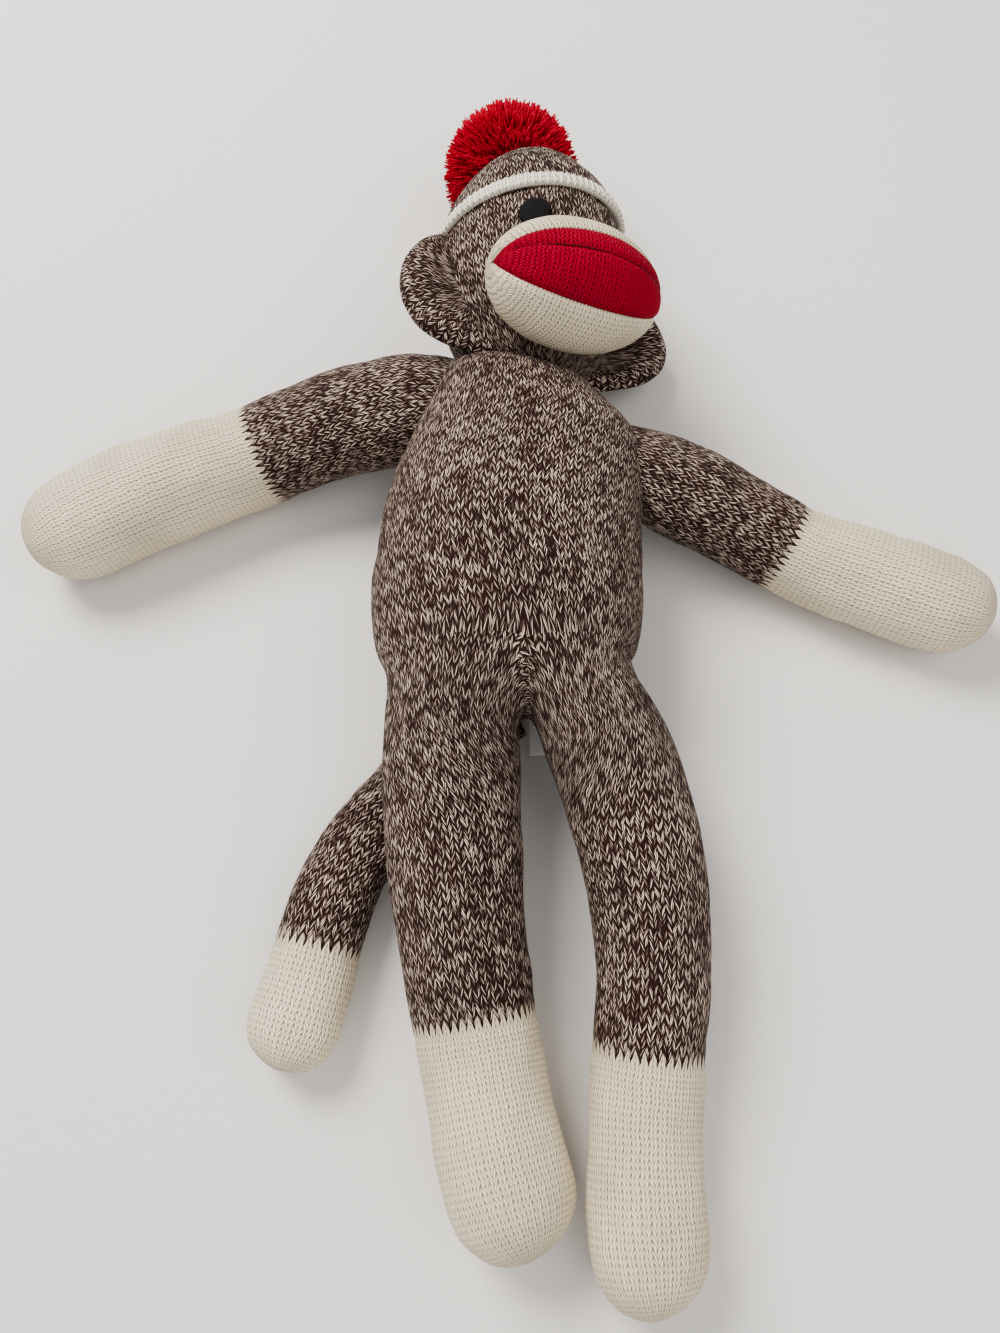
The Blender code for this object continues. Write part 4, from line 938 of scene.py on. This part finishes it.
def build_tail():
    limb = TailLine()
    bend, tip_at = limb.bend_at, limb.tip_at
    around = round(math.tau * 0.016 / sizes().wale)

    def radii(s):
        return 0.0172 + 0.0011 * ramp(s, tip_at - 0.02, tip_at + 0.02)

    root = tube_piece("tail_root_cloth", limb, -0.004, bend - 0.009, radii, around, limb.tall)
    dress_stuffed(root, "tail_root", "marl")
    change = tip_at - 0.0092
    tail = tube_piece("tail_cloth", limb, bend - 0.013, change, radii, around, limb.tall, closed=False)
    over = bend_over("tail_root", limb, bend - 0.010, bend + 0.010)
    dress_stuffed(tail, "tail", "marl limb", over)
    tip = end_piece("tail_tip_cloth", limb, change, radii, around, 0.36, limb.tall)
    over = bend_over("tail", limb, tip_at - 0.009, tip_at + 0.009)
    dress_stuffed(tip, "tail_tip", "cream", over)


# ---------------------------------------------------------------- head

HEAD_TURN = (
    Matrix.Rotation(math.radians(5.5), 3, "Z") @ Matrix.Rotation(math.radians(5), 3, "X")
    @ Matrix.Rotation(math.radians(31), 3, "Y")
)
HEAD_WIDE, HEAD_LONG, HEAD_DEEP = 0.0430, 0.0585, 0.0510
HEAD_UP = 0.0615


def head_place(x, y, z):
    return pivot("neck_nod") + HEAD_TURN @ Vector((x, y, z))


def head_matrix():
    return Matrix.Translation(pivot("neck_nod")) @ HEAD_TURN.to_4x4()


def egg(longitude, angle, extra=0.0):
    """A place on the head's egg shape. The longitude starts at the back, the angle at the neck."""
    wide, long, deep = HEAD_WIDE + extra, HEAD_LONG + extra, HEAD_DEEP + extra
    return (
        math.sin(longitude) * math.sin(angle) * wide,
        HEAD_UP - long * math.cos(angle),
        -math.cos(longitude) * math.sin(angle) * deep,
    )


def build_head():
    m = sizes()
    columns, steps = 96, 56
    around = round(math.tau * 0.0475 / m.wale)
    start = math.radians(16)
    rows, heights, run = [], [], 0.0
    for k in range(steps + 1):
        angle = start + (math.pi - start) * k / steps
        if k == steps:
            rows.append([head_place(0, HEAD_UP + HEAD_LONG, 0)])
        else:
            rows.append([head_place(*egg(a, angle, 0.0002)) for a in turns(columns)])
        heights.append(run / m.course)
        run += 0.055 * (math.pi - start) / steps
    for y, r in ((0.004, 0.0165), (-0.004, 0.0170), (-0.010, 0.0140)):
        rows.insert(0, [head_place(math.sin(a) * r, y, -math.cos(a) * r) for a in turns(columns)])
        heights.insert(0, heights[0] - 3.0)
    head = knit("head_cloth", rows, tube_marks(columns, around, heights), amount=0.0006)
    dress_stuffed(head, "head", "marl")


def build_hat():
    m = sizes()
    columns, steps = 96, 34
    around = round(math.tau * 0.049 / m.wale)
    normal = Matrix.Rotation(math.radians(5), 3, "X") @ Vector((0, 1, 0))
    lift, rise, length = 0.0028, 0.0060, 0.052

    def cap_place(longitude, up, extra):
        """A place on the grown egg shape at a height above the hat's tilted edge."""
        base = Vector((0, 0.0793, 0)) + normal * up
        low, high = 0.0, math.pi
        for _ in range(30):
            angle = (low + high) / 2
            spot = Vector(egg(longitude, angle, extra))
            if (spot - base).dot(normal) < 0:
                low = angle
            else:
                high = angle
        return spot

    rows = [[head_place(*cap_place(a, 0.0080, 0.0006)) for a in turns(columns)]]
    heights = [-1.5]
    lowest = [cap_place(a, 0.0085, 0.0026) for a in turns(columns)]
    starts = [math.acos(max(min((HEAD_UP - p.y) / (HEAD_LONG + lift), 1.0), -1.0)) for p in lowest]
    for k in range(steps):
        row = []
        for start, longitude in zip(starts, turns(columns)):
            angle = start + (math.pi - start) * k / steps
            x, y, z = egg(longitude, angle, lift - 0.0006 * (1 - ramp(k, 0, 3)))
            row.append(head_place(x, y + rise * ramp(k / steps, 0.0, 0.8), z))
        rows.append(row)
        heights.append(k * length / steps / m.course)
    rows.append([head_place(0, HEAD_UP + HEAD_LONG + lift + rise, 0)])
    heights.append(length / m.course)
    crown = knit("hat_crown_cloth", rows, tube_marks(columns, around, heights), amount=0.0007)
    dress(crown, "head", "marl", ("hat_crown",))
    rows = []
    ribs, count = around, around * 6
    profile = (
        (0.0004, 0.0002), (-0.0003, 0.0016), (0.0001, 0.0028), (0.0012, 0.0034),
        (0.0026, 0.0036), (0.0041, 0.0037), (0.0056, 0.0036), (0.0068, 0.0033),
        (0.0077, 0.0025), (0.0080, 0.0012), (0.0076, 0.0003),
    )
    for up, out in profile:
        row = []
        for longitude in turns(count):
            ridge = 0.0004 * math.cos(ribs * longitude) * ramp(out, 0.0005, 0.003)
            row.append(head_place(*cap_place(longitude, up, out + ridge)))
        rows.append(row)
    rows.append(rows[0])
    heights = [i * 0.5 for i in range(len(rows))]
    band = knit("hat_band_cloth", rows, tube_marks(count, around, heights), floor=True)
    dress(band, "head", "band", ("hat_band",))


MUZZLE = (0.0420, 0.0265, 0.0290)
MUZZLE_MIDDLE = (-0.0034, 0.0300, 0.0400)
MUZZLE_ROUND = 0.028
MOUTH_TURN = math.radians(-8)


def muzzle_place(tip, turn, extra=0.0):
    """A place on the muzzle. The tip angle runs between the corners of the mouth."""
    wide, tall, deep = (size + extra for size in MUZZLE)
    return head_place(
        MUZZLE_MIDDLE[0] - wide * math.cos(tip),
        MUZZLE_MIDDLE[1] + tall * math.sin(tip) * math.sin(turn),
        MUZZLE_MIDDLE[2] + deep * math.sin(tip) * math.cos(turn),
    )


def build_muzzle():
    m = sizes()
    columns = 84
    for name, first, last, cloth, slot, nodes in (
        ("muzzle_upper_cloth", 16, 181, "cream", "cream_knit", ("muzzle_upper", "muzzle_stuffing")),
        ("lips_cloth", -58, 16, "red", "red_knit", ("lips",)),
        ("muzzle_lower_cloth", -181, -58, "cream", "cream_knit", ("muzzle_lower",)),
    ):
        low, high = math.radians(first), math.radians(last)
        seams = [math.radians(edge) for edge in (16, -58) if edge in (first, last)]
        count = int(abs(last - first) / 2.4)
        rows, marks = [], []
        for i in range(-1, count + 2):
            turn = low + (high - low) * min(max(i, 0), count) / count
            row, mark = [], []
            for j in range(columns + 1):
                tip = math.radians(0.8) + (math.pi - math.radians(1.6)) * j / columns
                near = min(abs(turn - seam) for seam in seams) * (MUZZLE_ROUND * math.sin(tip))
                dip = -0.0011 * math.exp(-((near / 0.0014) ** 2))
                if name == "lips_cloth":
                    across = (turn - MOUTH_TURN) * MUZZLE_ROUND * math.sin(tip)
                    dip -= 0.0009 * math.exp(-((across / 0.0013) ** 2)) * ramp(math.sin(tip), 0.15, 0.5)
                if i in (-1, count + 1):
                    dip -= 0.0022
                row.append(muzzle_place(tip, turn, dip))
                mark.append((MUZZLE[0] * -math.cos(tip) / m.wale, turn * MUZZLE_ROUND / m.course))
            rows.append(row)
            marks.append(mark)
        piece = knit(name, rows, marks, wrap=False, amount=0.0004, floor=False)
        dress(piece, "head", cloth, nodes)


def build_mouth_stitches():
    """Back stitches along the mouth, each a short cord sunk at both ends."""
    count = 36
    tips = [math.radians(8) + (math.pi - math.radians(16)) * i / count for i in range(count + 1)]
    stitches = []
    for first, last in zip(tips, tips[1:]):
        a, b = (muzzle_place(tip, MOUTH_TURN, -0.0010) for tip in (first, last))
        out = (muzzle_place((first + last) / 2, MOUTH_TURN, 0.002) - (a + b) / 2).normalized()
        along = (b - a).normalized()
        turn = Matrix((along, out.cross(along), out)).transposed().to_4x4()
        size = Matrix.Diagonal(((b - a).length * 1.12, 0.0011, 0.0011, 1.0))
        stitches.append(bead(Matrix.Translation((a + b) / 2) @ turn @ size, 10, 6))
    dress(join_as(stitches, "mouth_line"), "head", "mouth", ("mouth_stitch",))


EYES = {"right": (-0.0225, 0.0600), "left": (0.0240, 0.0570)}


def build_eyes():
    """Felt discs with a rounded edge, sewn down with small stitches round the rim."""
    for side, (x, y) in EYES.items():
        along = y - HEAD_UP
        z = HEAD_DEEP * math.sqrt(1 - (x / HEAD_WIDE) ** 2 - (along / HEAD_LONG) ** 2)
        out = Vector((x / HEAD_WIDE**2, along / HEAD_LONG**2, z / HEAD_DEEP**2)).normalized()
        stand = head_matrix() @ Matrix.Translation(Vector((x, y, z)) + out * 0.0012)
        stand = stand @ out.to_track_quat("Z", "Y").to_matrix().to_4x4()
        bpy.ops.mesh.primitive_cylinder_add(vertices=48, radius=0.0067, depth=0.0018, location=(0, 0, 0))
        eye = name_active(f"eye_{side}_felt")
        bpy.ops.object.mode_set(mode="EDIT")
        bpy.ops.mesh.select_all(action="DESELECT")
        shell = bmesh.from_edit_mesh(eye.data)
        for face in shell.faces:
            face.select = face.normal.z > 0.9
        bmesh.update_edit_mesh(eye.data)
        for inset, up in ((0.0007, 0.0002), (0.0014, 0.0004), (0.0024, 0.0002)):
            bpy.ops.mesh.inset(thickness=inset)
            bpy.ops.transform.translate(value=(0, 0, up))
        bpy.ops.object.mode_set(mode="OBJECT")
        step = eye.modifiers.new("round", "SUBSURF")
        step.levels = step.render_levels = 2
        apply_all(eye)
        bpy.ops.object.shade_smooth()
        eye.data.transform(stand)
        dress(eye, "head", "felt", (f"eye_{side}",))
        stitches = []
        for a in turns(30):
            spot = Matrix.Translation((math.cos(a) * 0.0066, math.sin(a) * 0.0066, 0.0002))
            size = Matrix.Diagonal((0.0019, 0.0005, 0.0013, 1.0))
            stitches.append(bead(stand @ (spot @ Matrix.Rotation(a + 0.5, 4, "Z")) @ size, 8, 5))
        dress(join_as(stitches, f"eye_{side}_stitches"), "head", "felt")


# Side, degrees turned back, reach, half height, height of its middle on the head, depth of the cup
EARS = {
    "right": (-1, 12.0, 0.0240, 0.0316, 0.0445, 0.0045),
    "left": (1, -14.0, 0.0312, 0.0288, 0.0408, 0.0120),
}


def build_ears():
    """Cupped half rounds with a puffy rim. The columns of stitches run over the rim into the cup."""
    m = sizes()
    columns, steps = 60, 22
    for side, (sign, back, reach, half, up, cup) in EARS.items():
        place = (
            head_matrix() @ Matrix.Translation((HEAD_WIDE * sign, up, 0.0))
            @ Matrix.Rotation(math.radians(back) * sign, 4, "Y")
        )
        rows, marks = [], []
        for k in range(-steps, steps + 1):
            inward = abs(k) / steps
            r = 1 - inward ** 1.5
            puff = 0.0078 * math.sqrt(max(1 - r ** 5, 0.0))
            row, mark = [], []
            for j in range(columns + 1):
                a = math.pi * j / columns
                y = half * (0.25 + 0.75 * r) * math.cos(a)
                narrow = HEAD_WIDE * (1 - math.sqrt(1 - min((up + y - HEAD_UP) / HEAD_LONG, 1.0) ** 2))
                x = reach * r * math.sin(a) - 0.006 * (1 - r) - narrow * (1 - r * math.sin(a))
                z = puff * (0.6 + 0.4 * math.sin(a)) * (1 if k > 0 else -1) * ramp(r, 0.0, 0.15)
                if k > 0:
                    z -= cup * ramp(1 - r, 0.12, 0.75) * (0.4 + 0.6 * math.sin(a))
                row.append(place @ Vector((x * sign, y, z)))
                mark.append((a * 0.024 / m.wale, k * 0.0014 / m.course))
            rows.append(row)
            marks.append(mark)
        ear = knit(f"ear_{side}_cloth", rows, marks, wrap=False, amount=0.0007)
        over = ("head", place @ Vector((0.0, 0, 0)), place @ Vector((0.008 * sign, 0, 0)))
        dress(ear, f"ear_{side}", "marl", (f"ear_{side}",), over)


# ---------------------------------------------------------------- pompom, threads and label


STRAND_SIZES = (0.00070, 0.00078, 0.00082, 0.00076, 0.00035)


def in_head(spot, extra):
    """A place as the head sees it, and a share below 1 where it lies inside the head grown by this much."""
    x, y, z = head_matrix().inverted() @ spot
    y -= HEAD_UP
    share = (x / (HEAD_WIDE + extra)) ** 2 + (y / (HEAD_LONG + extra)) ** 2 + (z / (HEAD_DEEP + extra)) ** 2
    return Vector((x, y, z)), share


def build_pompom():
    """Cut yarn ends that spread from the tie. Each is a thin tapering strand with a few faces."""
    low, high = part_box("pompom")
    middle = (low + high) / 2
    middle.z = 0.0365
    tie = pivot("pompom_tilt")
    centre = tie + (middle - tie).normalized() * 0.028 + Vector((-0.0034, 0.0012, 0.0))
    radius = 0.0345
    count = sizes().strands
    rng = np.random.default_rng(7)
    points, faces = [], []
    golden = math.pi * (3 - math.sqrt(5))
    for i in range(count):
        z = 1 - 2 * (i + 0.5) / count
        flat = math.sqrt(1 - z * z)
        way = Vector((math.cos(golden * i) * flat, math.sin(golden * i) * flat, z))
        way = (way + Vector(rng.normal(0, 0.05, 3))).normalized()
        length = radius * (0.97 + 0.07 * rng.random())
        tip = centre + way * length
        if in_head(tip, 0.004)[1] < 1.0:
            continue
        start = centre + way * length * 0.35
        side = way.orthogonal().normalized()
        other = way.cross(side)
        curl = side * rng.normal(0, 0.0022) + other * rng.normal(0, 0.0022)
        first = len(points)
        stages = len(STRAND_SIZES)
        for k, size in enumerate(STRAND_SIZES):
            t = k / (stages - 1)
            spot = start.lerp(tip, t) + curl * math.sin(math.pi * t * 0.5) * t
            for c in range(4):
                a = math.tau * c / 4 + t * 2.2
                p = spot + side * math.cos(a) * size + other * math.sin(a) * size
                p.z = max(p.z, 0.0004 + size * 0.3)
                points.append(p)
        for k in range(stages - 1):
            for c in range(4):
                d = (c + 1) % 4
                base = first + k * 4
                faces.append((base + c, base + d, base + 4 + d, base + 4 + c))
        last = first + (stages - 1) * 4
        faces.append((last, last + 1, last + 2, last + 3))
        faces.append((first + 3, first + 2, first + 1, first))
    mesh = bpy.data.meshes.new("pompom_yarn")
    mesh.from_pydata([tuple(p) for p in points], [], faces)
    mesh.shade_smooth()
    dress(link(mesh, "pompom_yarn"), "pompom", "yarn", ("pompom",))
    bpy.ops.mesh.primitive_ico_sphere_add(subdivisions=4, radius=1.0, location=(0, 0, 0))
    core = name_active("pompom_core")
    for vert in core.data.vertices:
        way = vert.co.normalized()
        spot = centre + way * radius * (0.80 + 0.05 * noise.noise(way * 9))
        local, share = in_head(spot, 0.0032)
        if share < 1.0:
            shell = local / math.sqrt(share)
            spot = head_place(shell.x, shell.y + HEAD_UP, shell.z)
        spot.z = max(spot.z, 0.001)
        vert.co = spot
    bpy.ops.object.shade_smooth()
    dress(core, "pompom", "yarn")


def build_small_parts():
    """Threads and the tie keep their solids. The blank label becomes a soft tape."""
    threads = ("neck_thread", "shoulder_knot_left", "shoulder_knot_right")
    for node, cloth in (*((name, "thread") for name in threads), ("pompom_tie", "yarn")):
        held = frame["nodes"][node]
        held.data.materials.clear()
        held.data.materials.append(CLOTHS[cloth])
    low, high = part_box("care_label")
    middle = (low + high) / 2
    bpy.ops.mesh.primitive_grid_add(x_subdivisions=12, y_subdivisions=24, size=1.0, location=(0, 0, 0))
    label = name_active("care_label_tape")
    wide, long = high.x - low.x, high.y - low.y
    for vert in label.data.vertices:
        x, y = vert.co.x, vert.co.y
        sag = 0.0035 * (0.5 - y) ** 2 + 0.0006 * math.sin(x * 5 + y * 3)
        vert.co = (middle.x + x * wide, middle.y + y * long, middle.z - sag)
    step = label.modifiers.new("thick", "SOLIDIFY")
    step.thickness = 0.0005
    step.offset = 0.0
    apply_all(label)
    bpy.ops.object.shade_smooth()
    dress(label, "torso", "tape", ("care_label",))


# ---------------------------------------------------------------- stage


def build_stage():
    c = colours()
    made, s, shader = new_material("plain floor", 0.85)
    grain = s.node("ShaderNodeTexNoise", {
        "Vector": s.node("ShaderNodeTexCoord").outputs["Object"], "Scale": 3.0,
    })
    s.feed(shader, {"Base Color": s.mix(grain.outputs["Fac"], c.floor, darker(c.floor, 0.96))})
    bpy.ops.mesh.primitive_plane_add(size=8.0, location=(0, 0, 0))
    ground = bpy.context.active_object
    ground.name = "floor"
    ground.data.materials.append(made)
    camera = bpy.data.objects.new("photo camera", bpy.data.cameras.new("photo camera"))
    bpy.context.scene.collection.objects.link(camera)
    camera.location = (0.02317, -0.22635, 0.42488)
    camera.rotation_euler = Euler((math.radians(22.484), math.radians(2.975), math.radians(1.421)), "XYZ")
    camera.data.sensor_fit = "HORIZONTAL"
    camera.data.sensor_width = 36.0
    camera.data.lens = 36.0
    camera.data.clip_start = 0.01
    bpy.context.scene.camera = camera
    for name, spot, size, power, tint in (
        ("window light", (-0.9, 0.9, 1.5), 1.1, 52.0, (1.0, 0.97, 0.93)),
        ("room light", (0.9, -0.5, 1.3), 1.6, 12.0, (1.0, 0.95, 0.90)),
        ("low light", (-0.2, -1.4, 0.9), 1.2, 6.0, (1.0, 0.97, 0.95)),
    ):
        lamp = bpy.data.lights.new(name, "AREA")
        lamp.shape = "DISK"
        lamp.size, lamp.energy, lamp.color = size, power, tint
        held = bpy.data.objects.new(name, lamp)
        bpy.context.scene.collection.objects.link(held)
        held.location = spot
        held.rotation_euler = (Vector((0, 0, 0.04)) - Vector(spot)).to_track_quat("-Z", "Y").to_euler()
    world = bpy.data.worlds.new("soft room")
    world.use_nodes = True
    world.node_tree.nodes["Background"].inputs[0].default_value = (0.95, 0.96, 1.0, 1.0)
    world.node_tree.nodes["Background"].inputs[1].default_value = 0.45
    bpy.context.scene.world = world
    bpy.context.scene.view_settings.look = "AgX - Medium High Contrast"


# ---------------------------------------------------------------- operators and panel


class MONKEY_OT_stage(bpy.types.Operator):
    """Add the floor, the camera and the lights"""

    bl_idname = "monkey.stage"
    bl_label = "Stage"
    bl_options = {"REGISTER", "UNDO"}

    def execute(self, context):
        build_stage()
        return {"FINISHED"}


class MONKEY_OT_cloths(bpy.types.Operator):
    """Make the knitted cloth, felt, yarn and thread materials"""

    bl_idname = "monkey.cloths"
    bl_label = "Cloths"
    bl_options = {"REGISTER", "UNDO"}

    def execute(self, context):
        build_cloths()
        return {"FINISHED"}


class MONKEY_OT_body(bpy.types.Operator):
    """Knit the body with its legs and feet"""

    bl_idname = "monkey.body"
    bl_label = "Body, legs and feet"
    bl_options = {"REGISTER", "UNDO"}

    def execute(self, context):
        build_legs_and_body()
        return {"FINISHED"}


class MONKEY_OT_arms(bpy.types.Operator):
    """Knit the arms and hands"""

    bl_idname = "monkey.arms"
    bl_label = "Arms and hands"
    bl_options = {"REGISTER", "UNDO"}

    def execute(self, context):
        build_arms()
        return {"FINISHED"}


class MONKEY_OT_tail(bpy.types.Operator):
    """Knit the tail"""

    bl_idname = "monkey.tail"
    bl_label = "Tail"
    bl_options = {"REGISTER", "UNDO"}

    def execute(self, context):
        build_tail()
        return {"FINISHED"}


class MONKEY_OT_head(bpy.types.Operator):
    """Knit the head"""

    bl_idname = "monkey.head"
    bl_label = "Head"
    bl_options = {"REGISTER", "UNDO"}

    def execute(self, context):
        build_head()
        return {"FINISHED"}


class MONKEY_OT_hat(bpy.types.Operator):
    """Knit the hat and its ribbed band"""

    bl_idname = "monkey.hat"
    bl_label = "Hat"
    bl_options = {"REGISTER", "UNDO"}

    def execute(self, context):
        build_hat()
        return {"FINISHED"}


class MONKEY_OT_muzzle(bpy.types.Operator):
    """Knit the muzzle and the lips"""

    bl_idname = "monkey.muzzle"
    bl_label = "Muzzle and lips"
    bl_options = {"REGISTER", "UNDO"}

    def execute(self, context):
        build_muzzle()
        return {"FINISHED"}


class MONKEY_OT_mouth(bpy.types.Operator):
    """Sew the line of the mouth"""

    bl_idname = "monkey.mouth"
    bl_label = "Mouth line"
    bl_options = {"REGISTER", "UNDO"}

    def execute(self, context):
        build_mouth_stitches()
        return {"FINISHED"}


class MONKEY_OT_eyes(bpy.types.Operator):
    """Cut the felt eyes and sew them on"""

    bl_idname = "monkey.eyes"
    bl_label = "Eyes"
    bl_options = {"REGISTER", "UNDO"}

    def execute(self, context):
        build_eyes()
        return {"FINISHED"}


class MONKEY_OT_ears(bpy.types.Operator):
    """Knit the cupped ears"""

    bl_idname = "monkey.ears"
    bl_label = "Ears"
    bl_options = {"REGISTER", "UNDO"}

    def execute(self, context):
        build_ears()
        return {"FINISHED"}


class MONKEY_OT_pompom(bpy.types.Operator):
    """Make the pompom of cut yarn"""

    bl_idname = "monkey.pompom"
    bl_label = "Pompom"
    bl_options = {"REGISTER", "UNDO"}

    def execute(self, context):
        build_pompom()
        return {"FINISHED"}


class MONKEY_OT_small_parts(bpy.types.Operator):
    """Finish the threads, the tie and the blank label"""

    bl_idname = "monkey.small_parts"
    bl_label = "Threads and label"
    bl_options = {"REGISTER", "UNDO"}

    def execute(self, context):
        build_small_parts()
        return {"FINISHED"}


OPERATORS = (
    MONKEY_OT_stage,
    MONKEY_OT_cloths,
    MONKEY_OT_body,
    MONKEY_OT_arms,
    MONKEY_OT_tail,
    MONKEY_OT_head,
    MONKEY_OT_hat,
    MONKEY_OT_muzzle,
    MONKEY_OT_mouth,
    MONKEY_OT_eyes,
    MONKEY_OT_ears,
    MONKEY_OT_pompom,
    MONKEY_OT_small_parts,
)


class MONKEY_PT_panel(bpy.types.Panel):
    """Lists the pieces of the doll"""

    bl_idname = "MONKEY_PT_panel"
    bl_label = "Sock Monkey"
    bl_space_type = "VIEW_3D"
    bl_region_type = "UI"
    bl_category = "Sock Monkey"

    def draw(self, context):
        layout = self.layout
        for group in (context.scene.monkey_sizes, context.scene.monkey_colours):
            for name in group.bl_rna.properties.keys():
                if name not in ("rna_type", "name"):
                    layout.prop(group, name)
        for made in OPERATORS:
            layout.operator(made.bl_idname)


CLASSES = (SockMonkeySizes, SockMonkeyColours, *OPERATORS, MONKEY_PT_panel)


def register():
    for made in CLASSES:
        bpy.utils.register_class(made)
    bpy.types.Scene.monkey_sizes = PointerProperty(type=SockMonkeySizes)
    bpy.types.Scene.monkey_colours = PointerProperty(type=SockMonkeyColours)


def unregister():
    del bpy.types.Scene.monkey_sizes
    del bpy.types.Scene.monkey_colours
    for made in reversed(CLASSES):
        bpy.utils.unregister_class(made)


def main():
    register()
    for made in OPERATORS:
        family, name = made.bl_idname.split(".")
        getattr(getattr(bpy.ops, family), name)()


if __name__ == "__main__":
    main()
